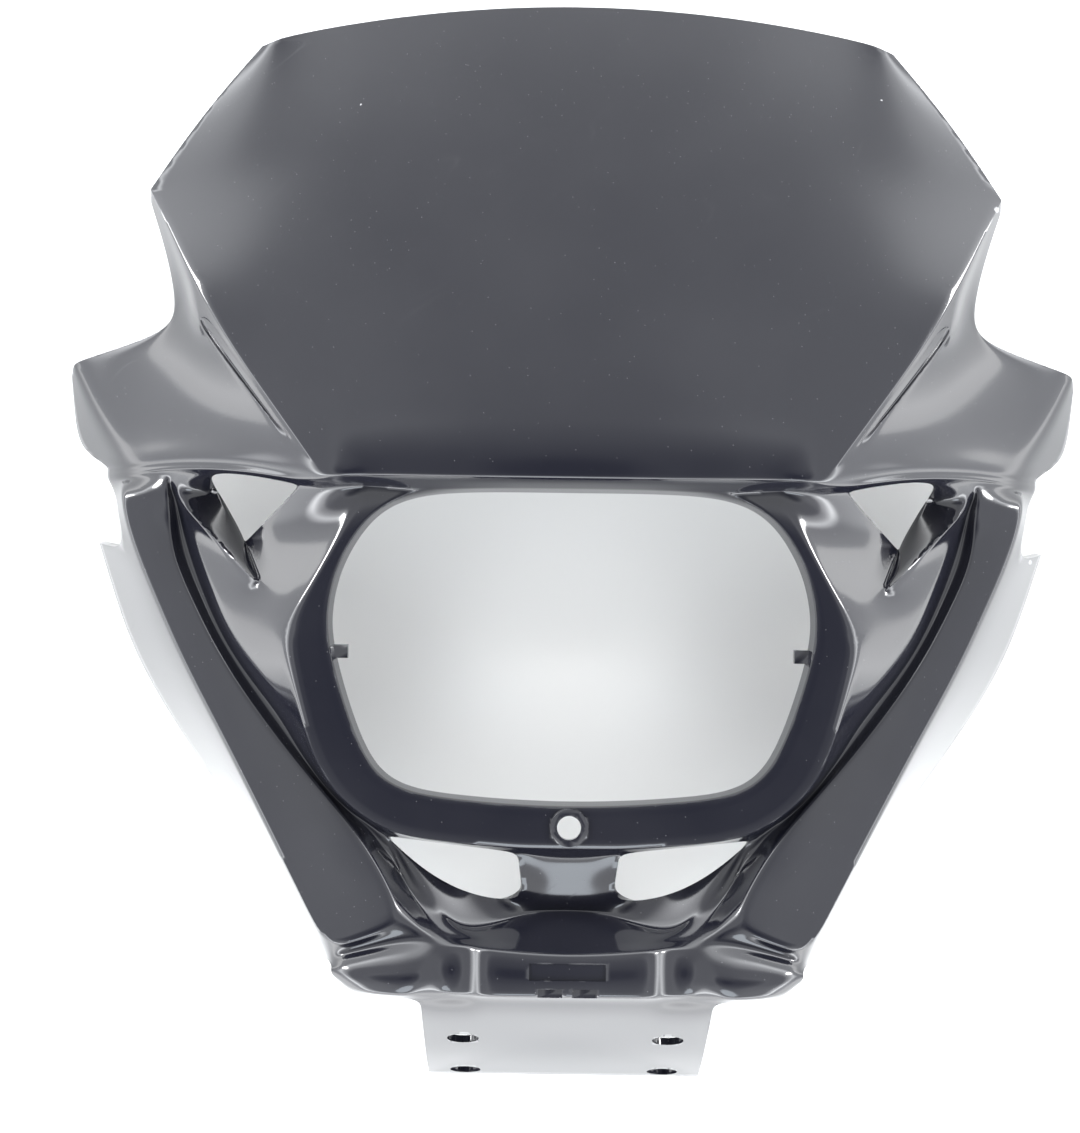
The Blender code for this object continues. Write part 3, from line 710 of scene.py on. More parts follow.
@dataclass
class Beam:
    """Beam with its raised block, the feet at its ends and the mounting tongue below it."""

    height: float = 113.0
    top: float = -152.6
    foot: float = -170.5
    hollow: float = 1.6
    block_half: float = 34.5
    valley_step: float = 4.0
    valley_depth: float = 6.0
    end_y: float = -149.3
    end_drop: float = 9.0
    inset: float = 7.3
    tongue_half: float = 58.3
    tongue_top: FlatPoint = (-178.5, 98.0)
    tongue_bend: FlatPoint = (-207.0, 35.0)
    tongue_end: float = -220.0
    hollow_edge: tuple[float, ...] = (-0.5, -0.6, -0.5, 0.6, 1.0)
    hollow_share: tuple[float, ...] = (1.0, 0.5, 0.0, 0.0)
    dip_shares: tuple[float, ...] = (1.0, 0.9, 0.0, 0.0, 0.0)
    over_drop: tuple[float, ...] = (2.0, 0.0, 1.0, 7.0)
    under_step: float = 2.5
    foot_spread: tuple[float, ...] = (0.0, 0.37, 0.76)
    foot_taper: tuple[float, ...] = (0.0, 0.35, 1.0)
    foot_insets: tuple[float, ...] = (1.3, 0.6, 0.0, 0.0)
    foot_steps: Line = ((0.3, -5.2, 0.0), (-9.4, -1.5, 0.0), (-0.5, 0.0, 1.2), (-2.7, 0.0, 1.2))
    foot_drops: Line = ((7.5, -0.2, 0.0), (0.0, 3.0, 0.0), (2.5, 0.0, 3.5), (11.0, 2.0, 0.0))
    foot_tip: Point = (95.0, -163.0, 102.0)
    tip_round: Line = ((-1.5, 2.7, 1.0), (0, 0, 0), (-2.5, -3.0, -2.0), (-3.5, -4.5, -7.0))
    groove_depth: float = 4.5
    groove_share: float = 0.55
    front_weight: float = 0.4
    back_weight: float = 0.55
    block_weight: float = 0.2
    foot_weight: float = 0.3
    low_weight: float = 0.5
    arm_weight: float = 0.6

    def scoop_end(self) -> Array:
        """Line between the scoop and the beam, from the valley beside the block to the centre.

        It bows by the hollow times the share of the way to the block's end, and lies lower
        by half the valley's depth outside the block.

        Returns:
            The line.
        """
        x = np.array([self.tongue_half - self.inset, self.block_half + self.valley_step,
                      self.block_half, self.block_half / 2, 0])
        y = self.end_y - self.hollow * (1 - x / self.block_half)
        z = self.height - self.end_drop - self.valley_depth / 2 * (x > self.block_half)
        return np.stack([x, y, z], axis=1)

    def surface(self, scoop_end: Array) -> Array:
        """Grid from the scoop's end over the block, down the tongue and to its lower edge.

        A row over the block lies at its own place, moved back by the hollow's share, and at
        the beam's height less its own drop and the valley's dip. The tongue's rows lie on
        the straight line from its top to its bend, and on the one down to its end.

        Args:
            scoop_end: First row of the grid.

        Returns:
            The grid, 9 rows down and 5 columns in.
        """
        x = scoop_end[:, 0]
        dip = self.valley_depth * np.array(self.dip_shares)
        hollow = self.hollow * np.array(self.hollow_edge)
        rows = np.array([self.top, (self.top + self.foot) / 2, self.foot, self.foot - self.under_step])
        y = rows[:, None] - hollow * np.array(self.hollow_share)[:, None]
        z = self.height - np.array(self.over_drop)[:, None] - dip
        block = np.stack([np.broadcast_to(x, y.shape), y, z], axis=2)
        share = np.linspace(0, 1, 3)[:, None]
        down = np.array(self.tongue_top) * (1 - share) + np.array(self.tongue_bend) * share
        down = np.vstack([down, (self.tongue_end, 0)])
        tongue = np.stack(np.broadcast_arrays(x, down[:, :1], down[:, 1:]), axis=2)
        return np.concatenate([scoop_end[None], block, tongue])

    def feet(self, under_start: Array) -> Array:
        """Grid of a foot, from its top edge over its crest and its low edge to its underside.

        The first two rows start from the beam's top edge, the others from its foot. A row's
        steps and drops are three numbers: the first holds all along, the second grows with
        the taper and the third with its square. A row's inset moves its first point in.

        Args:
            under_start: Point under the beam where the underside starts.

        Returns:
            The grid, 4 rows and 3 columns.
        """
        span = self.foot_tip[0] - self.tongue_half
        taper = np.array(self.foot_taper)
        growth = np.stack([np.ones(len(taper)), taper, taper ** 2])
        x = np.tile(self.tongue_half + span * np.array(self.foot_spread), (len(self.foot_insets), 1))
        x[:, 0] -= self.foot_insets
        starts = np.array([self.top, self.top, self.foot, self.foot])
        y = starts[:, None] + np.array(self.foot_steps) @ growth
        z = self.height - np.array(self.foot_drops) @ growth
        grid = np.stack([x, y, z], axis=2)
        grid[3, 0] = under_start
        return grid

    def add_to(self, skin: Skin, scoop_end: Array, arm: Array, near: Array, shoulder: Array) -> None:
        """Adds the beam, the tongue, the foot and the groove between the foot and the arm.

        Args:
            skin: The skin, which is changed.
            scoop_end: Line between the scoop and the beam.
            arm: Grid of the arm's face.
            near: Near edge of the side flange.
            shoulder: Line along the middle of the arm's inner wall.
        """
        beam = self.surface(scoop_end)
        edge = beam[4:, 0] * (0, 1, 1) + (self.tongue_half, 0, 0)
        edge[0, 2] = self.height - self.end_drop
        skin.panels.append(beam)
        skin.panel(beam[4:, 0], edge)
        foot = self.feet(edge[0])
        tip = np.array(self.foot_tip) + self.tip_round
        end = arm[12]
        dip = between(end, foot[0], self.groove_share, -self.groove_depth)
        skin.panels.append(foot)
        skin.face(beam[1, 0], foot[0, 0], foot[1, 0], beam[2, 0])
        skin.face(beam[2, 0], foot[1, 0], foot[2, 0], beam[3, 0])
        skin.face(beam[3, 0], foot[2, 0], foot[3, 0], beam[4, 0])
        skin.face(beam[1, 0], dip[0], foot[0, 0])
        skin.face(beam[0, 0], shoulder[12], end[0], dip[0], beam[1, 0])
        skin.panel(foot[:, 2], tip)
        skin.panel(end, dip, foot[0])
        skin.face(dip[2], end[2], near[12], tip[0])
        skin.face(dip[2], tip[0], foot[0, 2])
        for line, weight in ((beam[1], self.front_weight), (beam[3], self.back_weight),
                             (beam[1:4, 2], self.block_weight), (foot[0], self.foot_weight),
                             (foot[2], self.low_weight), (end, self.arm_weight)):
            skin.tighten(line, weight)

    def face_point(self, z: float) -> tuple[Vector, Vector]:
        """Place on the tongue's outer face at a height.

        Args:
            z: Height of the place.

        Returns:
            The place on the centre line, and the face's outward direction there.
        """
        lower = z <= self.tongue_bend[1]
        start, finish = ((self.tongue_bend, (self.tongue_end, 0.0)) if lower
                         else (self.tongue_top, self.tongue_bend))
        share = (z - start[1]) / (finish[1] - start[1])
        y = start[0] + (finish[0] - start[0]) * share
        return Vector((0, y, z)), Vector((0, finish[1] - start[1], start[0] - finish[0])).normalized()


def solid(name: str, mesh: bmesh.types.BMesh) -> bpy.types.Object:
    """Makes an object of a mesh in millimetres, and links it to the scene in metres.

    Args:
        name: Name of the object.
        mesh: The mesh, which is used up.

    Returns:
        The object.
    """
    bmesh.ops.scale(mesh, verts=mesh.verts, vec=(MM, MM, MM))
    data = bpy.data.meshes.new(name)
    mesh.to_mesh(data)
    mesh.free()
    made = bpy.data.objects.new(name, data)
    bpy.context.scene.collection.objects.link(made)
    return made


def settle(target: bpy.types.Object) -> None:
    """Replaces an object's mesh by its shape under its modifiers.

    Args:
        target: The object, which is left without modifiers.
    """
    graph = bpy.context.evaluated_depsgraph_get()
    shape = bpy.data.meshes.new_from_object(target.evaluated_get(graph))
    target.modifiers.clear()
    target.data = shape


@dataclass
class Tools:
    """Round bars and blocks gathered in one mesh, to join with a solid or to take out of it."""

    mesh: bmesh.types.BMesh = field(default_factory=bmesh.new)

    def bar(self, radius: float, start: Vector, end: Vector, sides: int = 48) -> None:
        """Adds a round bar between two points.

        Args:
            radius: Radius of the bar.
            start: Middle of one end.
            end: Middle of the other end.
            sides: Number of flats round it.
        """
        axis = end - start
        made = bmesh.ops.create_cone(self.mesh, cap_ends=True, segments=sides, radius1=radius,
                                     radius2=radius, depth=axis.length)["verts"]
        bmesh.ops.transform(self.mesh, verts=made, matrix=axis.to_track_quat("Z", "Y").to_matrix().to_4x4())
        bmesh.ops.translate(self.mesh, verts=made, vec=(start + end) / 2)

    def block(self, size: Point, centre: Point) -> None:
        """Adds a block of a size about a centre.

        Args:
            size: Its three sides.
            centre: Its middle.
        """
        made = bmesh.ops.create_cube(self.mesh, size=1.0)["verts"]
        bmesh.ops.scale(self.mesh, verts=made, vec=Vector(size))
        bmesh.ops.translate(self.mesh, verts=made, vec=Vector(centre))

    def apply(self, target: bpy.types.Object, cut: Cut) -> None:
        """Joins the bars and blocks with the target, or takes them out of it.

        Args:
            target: The object, which is changed.
            cut: Which of the two it is.
        """
        tool = solid("tools", self.mesh)
        modifier = target.modifiers.new(cut.name.title(), "BOOLEAN")
        modifier.operation = cut.value
        modifier.object = tool
        settle(target)
        bpy.data.objects.remove(tool)


@dataclass
class Fastenings:
    """Screw boss, tongue bores, pegs on the return flange and the catch in the beam's face."""

    screw_y: float = -104.5
    screw_radius: float = 4.8
    boss_radius: float = 7.6
    boss_rise: float = 1.2
    tongue_hole_radius: float = 6.5
    tongue_hole_inset: float = 16.0
    tongue_holes_z: tuple[float, float] = (61.0, 8.5)
    bore_walls: float = 5.0
    hole_walls: float = 4.0
    boss_foot: float = 0.7
    peg_y: float = -35.2
    peg_size: Point = (8.0, 5.4, 7.0)
    peg_reach: float = 6.6
    catch_half: float = 15.2
    catch_span: tuple[float, float] = (-157.3, -164.0)
    catch_depth: float = 1.5
    gap_width: float = 9.8
    gap_x: float = 6.9
    gap_top: float = -167.4
    gap_deeper: float = 0.5

    def joined(self, ring: HeadlightRing, wall: float) -> Tools:
        """Boss and pegs, which join the shell.

        Args:
            ring: The ring that carries them.
            wall: Thickness of the shell.

        Returns:
            The tools for them.
        """
        tools = Tools()
        face = Vector((0, self.screw_y, ring.height))
        up = Vector((0, 0, 1))
        tools.bar(self.boss_radius, face - up * wall * self.boss_foot, face + up * self.boss_rise)
        inner = np.array(ring.inner_line)
        edge = np.interp(-self.peg_y, -inner[:, 1], inner[:, 0])
        x = edge - self.peg_reach + self.peg_size[0] / 2
        z = ring.height - ring.depth - self.peg_size[2] / 2 + wall
        for side in Side:
            tools.block(self.peg_size, (side.value * x, self.peg_y, z))
        return tools

    def taken_out(self, ring: HeadlightRing, beam: Beam, wall: float) -> Tools:
        """Screw bore, tongue bores, catch and the gaps between its legs.

        Args:
            ring: The ring that carries the boss.
            beam: The beam and the tongue.
            wall: Thickness of the shell.

        Returns:
            The tools for them.
        """
        tools = Tools()
        face = Vector((0, self.screw_y, ring.height))
        reach = Vector((0, 0, self.bore_walls * wall))
        tools.bar(self.screw_radius, face - reach, face + reach)
        top, bottom = self.catch_span
        size = (2 * self.catch_half, top - bottom, 2 * self.catch_depth)
        tools.block(size, (0, (top + bottom) / 2, beam.height))
        length = self.gap_top - beam.foot + wall
        for side in Side:
            for z in self.tongue_holes_z:
                middle, outward = beam.face_point(z)
                x = side.value * (beam.tongue_half - self.tongue_hole_inset)
                centre = middle + Vector((x, 0, 0))
                through_wall = outward * self.hole_walls * wall
                tools.bar(self.tongue_hole_radius, centre - through_wall, centre + through_wall)
            size = (self.gap_width, length, 2 * (self.catch_depth + self.gap_deeper))
            tools.block(size, (side.value * self.gap_x, self.gap_top - length / 2, beam.height))
        return tools


@dataclass
class Moulding:
    """The whole mask as one moulded shell with an even wall."""

    visor: Visor = field(default_factory=Visor)
    wing: Wing = field(default_factory=Wing)
    brow: Brow = field(default_factory=Brow)
    ring: HeadlightRing = field(default_factory=HeadlightRing)
    pocket: Pocket = field(default_factory=Pocket)
    arm: Arm = field(default_factory=Arm)
    lower_bar: LowerBar = field(default_factory=LowerBar)
    beam: Beam = field(default_factory=Beam)
    fastenings: Fastenings = field(default_factory=Fastenings)
    wall: float = 3.0
    fineness: int = 3
    edge_round: float = 0.5
    edge_angle: float = 62.0
    smooth_angle: float = 50.0

    def skin(self) -> Skin:
        """Lays out all panels of the right half, from the visor down to the tongue.

        Returns:
            The skin.
        """
        skin = Skin()
        visor = self.visor.surface()
        wing = self.wing.surface(self.visor)
        brow = self.brow.surface(visor, wing, np.array(self.wing.band_edge))
        skin.panels.append(visor)
        skin.tighten(visor[self.visor.edge_steps:, -1], self.visor.ridge_weight)
        self.wing.add_to(skin, wing)
        self.brow.add_to(skin, brow)
        self.ring.add_to(skin, brow)
        outer = self.ring.outer(brow)
        scoop_end = self.beam.scoop_end()
        groove = self.pocket.groove(self.ring, scoop_end[0])
        self.pocket.add_to(skin, brow, outer, groove)
        arm = self.arm.surface(brow)
        shoulder, near = self.arm.add_to(skin, arm, brow, groove)
        self.lower_bar.add_to(skin, outer, groove, scoop_end, self.ring)
        self.beam.add_to(skin, scoop_end, arm, near, shoulder)
        return skin

    def seat(self, shell: bpy.types.Object) -> None:
        """Moves the mesh to the middle of the CAD node's box, with its lowest point on the box's.

        Args:
            shell: The moulding, whose mesh is changed.
        """
        places = np.empty(len(shell.data.vertices) * 3)
        shell.data.vertices.foreach_get("co", places)
        places = places.reshape(-1, 3)
        low, high = places.min(axis=0), places.max(axis=0)
        box_low, box_high = (np.array(corner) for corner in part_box(NODE))
        middle = (box_low + box_high - low - high) / 2
        places += (0, middle[1], box_low[2] - low[2])
        shell.data.vertices.foreach_set("co", places.ravel())
        shell.data.update()

    def build(self) -> bpy.types.Object:
        """Makes the moulding as one object in the CAD node's place.

        The skin is smoothed, gets its wall inwards, is joined with the boss and the pegs, has
        the bores and the catch taken out, and has its sharp edges rounded.

        Returns:
            The object.
        """
        mesh = self.skin().welded("mask_moulding")
        mesh.transform(((MM, 0, 0, 0), (0, MM, 0, 0), (0, 0, MM, 0), (0, 0, 0, 1)))
        shell = bpy.data.objects.new("mask_moulding", mesh)
        bpy.context.scene.collection.objects.link(shell)
        smooth = shell.modifiers.new("Smoothing", "SUBSURF")
        smooth.levels = smooth.render_levels = self.fineness
        smooth.boundary_smooth = "PRESERVE_CORNERS"
        wall = shell.modifiers.new("Wall", "SOLIDIFY")
        wall.thickness = self.wall * MM
        wall.offset = -1
        wall.material_offset = 1
        for material in (GlossPlastic().build(), SatinPlastic().build()):
            mesh.materials.append(material)
        settle(shell)
        self.fastenings.joined(self.ring, self.wall).apply(shell, Cut.JOIN)
        self.fastenings.taken_out(self.ring, self.beam, self.wall).apply(shell, Cut.TAKE_OUT)
        rounding = shell.modifiers.new("Edges", "BEVEL")
        rounding.width = self.edge_round * MM
        rounding.segments = 1
        rounding.limit_method = "ANGLE"
        rounding.angle_limit = radians(self.edge_angle)
        settle(shell)
        self.seat(shell)
        shell.data.shade_smooth()
        shell.data.set_sharp_from_angle(angle=radians(self.smooth_angle))
        return shell


class Grain(Enum):
    """Shader groups that more than one plastic uses."""

    HAIRLINES = "hairlines"
    DUST = "dust"
    EDGE_WEAR = "edge_wear"
    CHIPS = "chips"


def new_group(grain: Grain, inputs: dict[str, float], outputs: tuple[str, ...]) -> bpy.types.NodeTree:
    """Empty shader group with named number sockets.

    Args:
        grain: Which effect it is for.
        inputs: Input names with their usual values.
        outputs: Output names.

    Returns:
        The group's node tree.
    """
    tree = bpy.data.node_groups.new(grain.value, "ShaderNodeTree")
    for name, value in inputs.items():
        socket = tree.interface.new_socket(name, in_out="INPUT", socket_type="NodeSocketFloat")
        socket.default_value = value
    for name in outputs:
        tree.interface.new_socket(name, in_out="OUTPUT", socket_type="NodeSocketFloat")
    return tree


def node(tree: bpy.types.NodeTree, kind: str, **values: object) -> bpy.types.Node:
    """Adds a node.

    Args:
        tree: Tree that it goes into.
        kind: Blender's name of its type.
        **values: Properties to set on it.

    Returns:
        The node.
    """
    made = tree.nodes.new(kind)
    for name, value in values.items():
        setattr(made, name, value)
    return made


def ranged(tree: bpy.types.NodeTree, low: float, high: float, **values: object) -> bpy.types.Node:
    """Adds a node that turns a value between two limits into a share between none and all.

    Args:
        tree: Tree that it goes into.
        low: Value that gives none.
        high: Value that gives all, which may be the smaller one.
        **values: Properties to set on it.

    Returns:
        The node.
    """
    made = node(tree, "ShaderNodeMapRange", **values)
    made.inputs["From Min"].default_value = low
    made.inputs["From Max"].default_value = high
    return made


def cloud_of(tree: bpy.types.NodeTree, scale: float, detail: float = 2.0) -> bpy.types.Node:
    """Adds a noise whose pattern lies fixed in the object.

    Args:
        tree: Tree that it goes into.
        scale: Scale of the noise, in waves to a metre.
        detail: Number of finer layers.

    Returns:
        The noise node.
    """
    made = node(tree, "ShaderNodeTexNoise")
    made.inputs["Scale"].default_value = scale
    made.inputs["Detail"].default_value = detail
    place = node(tree, "ShaderNodeTexCoord")
    tree.links.new(place.outputs["Object"], made.inputs["Vector"])
    return made


@cache
def hairlines() -> bpy.types.NodeTree:
    """Mask of fine scratches: the thin bands where stretched noise passes its middle.

    Another, broader noise chooses the patches that are scratched.

    Returns:
        The group's node tree.
    """
    squeeze_along, noise_middle = 0.015, 0.5
    patch_scale, patch_start, patch_full = 23.0, 0.56, 0.7
    tree = new_group(Grain.HAIRLINES, {"Scale": 60.0, "Width": 0.012, "Turn": 0.6}, ("Mask",))
    given, out = node(tree, "NodeGroupInput"), node(tree, "NodeGroupOutput")
    place = node(tree, "ShaderNodeTexCoord")
    turn = node(tree, "ShaderNodeVectorRotate", rotation_type="Z_AXIS")
    stretch = node(tree, "ShaderNodeVectorMath", operation="MULTIPLY")
    stretch.inputs[1].default_value = (1.0, squeeze_along, 1.0)
    noise = node(tree, "ShaderNodeTexNoise")
    noise.inputs["Detail"].default_value = 0.0
    away = node(tree, "ShaderNodeMath", operation="SUBTRACT")
    away.inputs[1].default_value = noise_middle
    size = node(tree, "ShaderNodeMath", operation="ABSOLUTE")
    near = node(tree, "ShaderNodeMath", operation="LESS_THAN")
    patch = cloud_of(tree, patch_scale)
    chosen = ranged(tree, patch_start, patch_full)
    both = node(tree, "ShaderNodeMath", operation="MULTIPLY")
    link = tree.links.new
    link(place.outputs["Object"], turn.inputs["Vector"])
    link(given.outputs["Turn"], turn.inputs["Angle"])
    link(turn.outputs["Vector"], stretch.inputs[0])
    link(stretch.outputs["Vector"], noise.inputs["Vector"])
    link(given.outputs["Scale"], noise.inputs["Scale"])
    link(noise.outputs["Fac"], away.inputs[0])
    link(away.outputs[0], size.inputs[0])
    link(size.outputs[0], near.inputs[0])
    link(given.outputs["Width"], near.inputs[1])
    link(patch.outputs["Fac"], chosen.inputs["Value"])
    link(near.outputs[0], both.inputs[0])
    link(chosen.outputs["Result"], both.inputs[1])
    link(both.outputs[0], out.inputs["Mask"])
    return tree


@cache
def dust() -> bpy.types.NodeTree:
    """Mask of dust: a thin uneven film, and specks round the middles of fine cells.

    Returns:
        The group's node tree.
    """
    cloud_scale, cloud_detail, film_start, film_full = 14.0, 6.0, 0.42, 0.75
    cell_scale, speck_edge, speck_full = 260.0, 0.075, 0.045
    tree = new_group(Grain.DUST, {"Film": 0.5, "Specks": 1.0}, ("Mask",))
    given, out = node(tree, "NodeGroupInput"), node(tree, "NodeGroupOutput")
    place = node(tree, "ShaderNodeTexCoord")
    cloud = cloud_of(tree, cloud_scale, cloud_detail)
    film = ranged(tree, film_start, film_full)
    film_share = node(tree, "ShaderNodeMath", operation="MULTIPLY")
    cells = node(tree, "ShaderNodeTexVoronoi")
    cells.inputs["Scale"].default_value = cell_scale
    speck = ranged(tree, speck_edge, speck_full)
    speck_share = node(tree, "ShaderNodeMath", operation="MULTIPLY")
    both = node(tree, "ShaderNodeMath", operation="MAXIMUM")
    link = tree.links.new
    link(cloud.outputs["Fac"], film.inputs["Value"])
    link(film.outputs["Result"], film_share.inputs[0])
    link(given.outputs["Film"], film_share.inputs[1])
    link(place.outputs["Object"], cells.inputs["Vector"])
    link(cells.outputs["Distance"], speck.inputs["Value"])
    link(speck.outputs["Result"], speck_share.inputs[0])
    link(given.outputs["Specks"], speck_share.inputs[1])
    link(film_share.outputs[0], both.inputs[0])
    link(speck_share.outputs[0], both.inputs[1])
    link(both.outputs[0], out.inputs["Mask"])
    return tree


@cache
def edge_wear() -> bpy.types.NodeTree:
    """Mask of rubbed edges: places where a rounded normal leaves the true one, broken up by noise.

    Returns:
        The group's node tree.
    """
    edge_start, edge_full = 0.97, 0.86
    cloud_scale, cloud_detail, broken_start, broken_full = 90.0, 4.0, 0.5, 0.64
    tree = new_group(Grain.EDGE_WEAR, {"Amount": 0.5, "Radius": 0.0008}, ("Mask",))
    given, out = node(tree, "NodeGroupInput"), node(tree, "NodeGroupOutput")
    rounded = node(tree, "ShaderNodeBevel", samples=4)
    shape = node(tree, "ShaderNodeNewGeometry")
    agree = node(tree, "ShaderNodeVectorMath", operation="DOT_PRODUCT")
    raised = ranged(tree, edge_start, edge_full)
    cloud = cloud_of(tree, cloud_scale, cloud_detail)
    broken = ranged(tree, broken_start, broken_full)
    both = node(tree, "ShaderNodeMath", operation="MULTIPLY")
    share = node(tree, "ShaderNodeMath", operation="MULTIPLY")
    link = tree.links.new
    link(given.outputs["Radius"], rounded.inputs["Radius"])
    link(rounded.outputs["Normal"], agree.inputs[0])
    link(shape.outputs["Normal"], agree.inputs[1])
    link(agree.outputs["Value"], raised.inputs["Value"])
    link(cloud.outputs["Fac"], broken.inputs["Value"])
    link(raised.outputs["Result"], both.inputs[0])
    link(broken.outputs["Result"], both.inputs[1])
    link(both.outputs[0], share.inputs[0])
    link(given.outputs["Amount"], share.inputs[1])
    link(share.outputs[0], out.inputs["Mask"])
    return tree


@cache
def chips(places: Line) -> bpy.types.NodeTree:
    """Mask of chips: a ragged spot round each place, told by its distance across the mask's face.

    A fine noise moves each point by up to the raggedness before its distance is taken.

    Args:
        places: Across, along and radius of each chip, in millimetres from the mask's middle.

    Returns:
        The group's node tree.
    """
    raggedness, solid_share, cloud_scale = 1.2 * MM, 0.7, 600.0
    tree = new_group(Grain.CHIPS, {"Amount": 1.0}, ("Mask",))
    given, out = node(tree, "NodeGroupInput"), node(tree, "NodeGroupOutput")
    link = tree.links.new
    place = node(tree, "ShaderNodeTexCoord")
    cloud = cloud_of(tree, cloud_scale)
    ragged = node(tree, "ShaderNodeVectorMath", operation="MULTIPLY_ADD")
    ragged.inputs[1].default_value = (raggedness, raggedness, 0.0)
    flat = node(tree, "ShaderNodeVectorMath", operation="MULTIPLY")
    flat.inputs[1].default_value = (1.0, 1.0, 0.0)
    link(place.outputs["Object"], flat.inputs[0])
    link(cloud.outputs["Color"], ragged.inputs[0])
    link(flat.outputs["Vector"], ragged.inputs[2])
    spots = []
    for x, y, radius in places:
        away = node(tree, "ShaderNodeVectorMath", operation="DISTANCE")
        away.inputs[1].default_value = (x * MM + raggedness / 2, y * MM + raggedness / 2, 0.0)
        spot = ranged(tree, radius * MM, radius * MM * solid_share)
        link(ragged.outputs["Vector"], away.inputs[0])
        link(away.outputs["Value"], spot.inputs["Value"])
        spots.append(spot.outputs["Result"])
    found = spots[0]
    for spot in spots[1:]:
        most = node(tree, "ShaderNodeMath", operation="MAXIMUM")
        link(found, most.inputs[0])
        link(spot, most.inputs[1])
        found = most.outputs[0]
    share = node(tree, "ShaderNodeMath", operation="MULTIPLY")
    link(found, share.inputs[0])
    link(given.outputs["Amount"], share.inputs[1])
    link(share.outputs[0], out.inputs["Mask"])
    return tree


@dataclass(frozen=True)
class Finish:
    """Plastic with dust, hairline scratches and rubbed edges over its own colour."""

    name: str = "plastic"
    colour: tuple[float, float, float] = (0.0048, 0.005, 0.008)
    dusty: tuple[float, float, float] = (0.2, 0.2, 0.205)
    roughness: float = 0.1
    unevenness: float = 0.3
    uneven_scale: float = 9.0
    uneven_detail: float = 3.0
    ior: float = 1.5
    film: float = 0.015
    specks: float = 0.18
    veil_roughness: float = 0.5
    scratches: float = 0.12
    line_scale: float = 70.0
    line_width: float = 0.008
    line_turn: float = 0.9
    wear: float = 0.3
    grain_scale: float = 900.0
    grain_depth: float = 0.0
    grain_strength: float = 0.5
    chipped: Line = (
        (-89.6, 183.0, 0.5), (126.7, 188.4, 0.5), (-209.8, 40.0, 1.1), (209.0, 34.0, 1.3),
        (174.5, 143.0, 1.4), (-196.5, 1.0, 1.2), (196.3, -3.0, 1.2))

    def placed(self, tree: bpy.types.NodeTree, group: bpy.types.NodeTree,
               **values: float) -> bpy.types.NodeSocket:
        """Places a group in the material with its own values.

        Args:
            tree: The material's tree.
            group: The group.
            **values: Values of the group's inputs.

        Returns:
            The socket of its mask.
        """
        made = node(tree, "ShaderNodeGroup", node_tree=group)
        for name, value in values.items():
            made.inputs[name].default_value = value
        return made.outputs["Mask"]

    def build(self) -> bpy.types.Material:
        """Makes the material.

        Dust, wear and chips mix the colour towards a dusty grey, and they and the scratches
        each add to the roughness, which also drifts a little over the surface. Where the
        finish has a grain, it gives the bump its height.

        Returns:
            The material.
        """
        material = bpy.data.materials.new(self.name)
        material.use_nodes = True
        tree = material.node_tree
        link = tree.links.new
        shader = tree.nodes["Principled BSDF"]
        shader.inputs["IOR"].default_value = self.ior
        dusted = self.placed(tree, dust(), Film=self.film, Specks=self.specks)
        lines = self.placed(tree, hairlines(), Scale=self.line_scale, Width=self.line_width,
                            Turn=self.line_turn)
        rubbed = self.placed(tree, edge_wear(), Amount=self.wear)
        broken = self.placed(tree, chips(self.chipped), Amount=1.0)
        worn = node(tree, "ShaderNodeMath", operation="MAXIMUM")
        link(rubbed, worn.inputs[0])
        link(broken, worn.inputs[1])
        veil = node(tree, "ShaderNodeMath", operation="MAXIMUM")
        link(dusted, veil.inputs[0])
        link(worn.outputs[0], veil.inputs[1])
        tint = node(tree, "ShaderNodeMix", data_type="RGBA")
        tint.inputs["A"].default_value = (*self.colour, 1)
        tint.inputs["B"].default_value = (*self.dusty, 1)
        link(veil.outputs[0], tint.inputs["Factor"])
        link(tint.outputs["Result"], shader.inputs["Base Color"])
        cloud = cloud_of(tree, self.uneven_scale, self.uneven_detail)
        even = node(tree, "ShaderNodeMapRange")
        even.inputs["To Min"].default_value = self.roughness * (1 - self.unevenness)
        even.inputs["To Max"].default_value = self.roughness * (1 + self.unevenness)
        link(cloud.outputs["Fac"], even.inputs["Value"])
        rough = node(tree, "ShaderNodeMath", operation="MULTIPLY_ADD")
        rough.inputs[1].default_value = self.veil_roughness
        link(veil.outputs[0], rough.inputs[0])
        link(even.outputs["Result"], rough.inputs[2])
        scored = node(tree, "ShaderNodeMath", operation="MULTIPLY_ADD", use_clamp=True)
        scored.inputs[1].default_value = self.scratches
        link(lines, scored.inputs[0])
        link(rough.outputs[0], scored.inputs[2])
        link(scored.outputs[0], shader.inputs["Roughness"])
        if self.grain_depth:
            grain = cloud_of(tree, self.grain_scale)
            bump = node(tree, "ShaderNodeBump")
            bump.inputs["Strength"].default_value = self.grain_strength
            bump.inputs["Distance"].default_value = self.grain_depth
            link(grain.outputs["Fac"], bump.inputs["Height"])
            link(bump.outputs["Normal"], shader.inputs["Normal"])
        return material


@dataclass(frozen=True)
class GlossPlastic(Finish):
    """Gloss black outside, with a little dust and a few hairlines."""

    name: str = "gloss_black"


@dataclass(frozen=True)
class SatinPlastic(Finish):
    """Satin black inside, as it leaves the mould, with a fine grain."""

    name: str = "satin_black"
    colour: tuple[float, float, float] = (0.014, 0.014, 0.015)
    roughness: float = 0.38
    film: float = 0.1
    specks: float = 0.5
    grain_depth: float = 0.0001


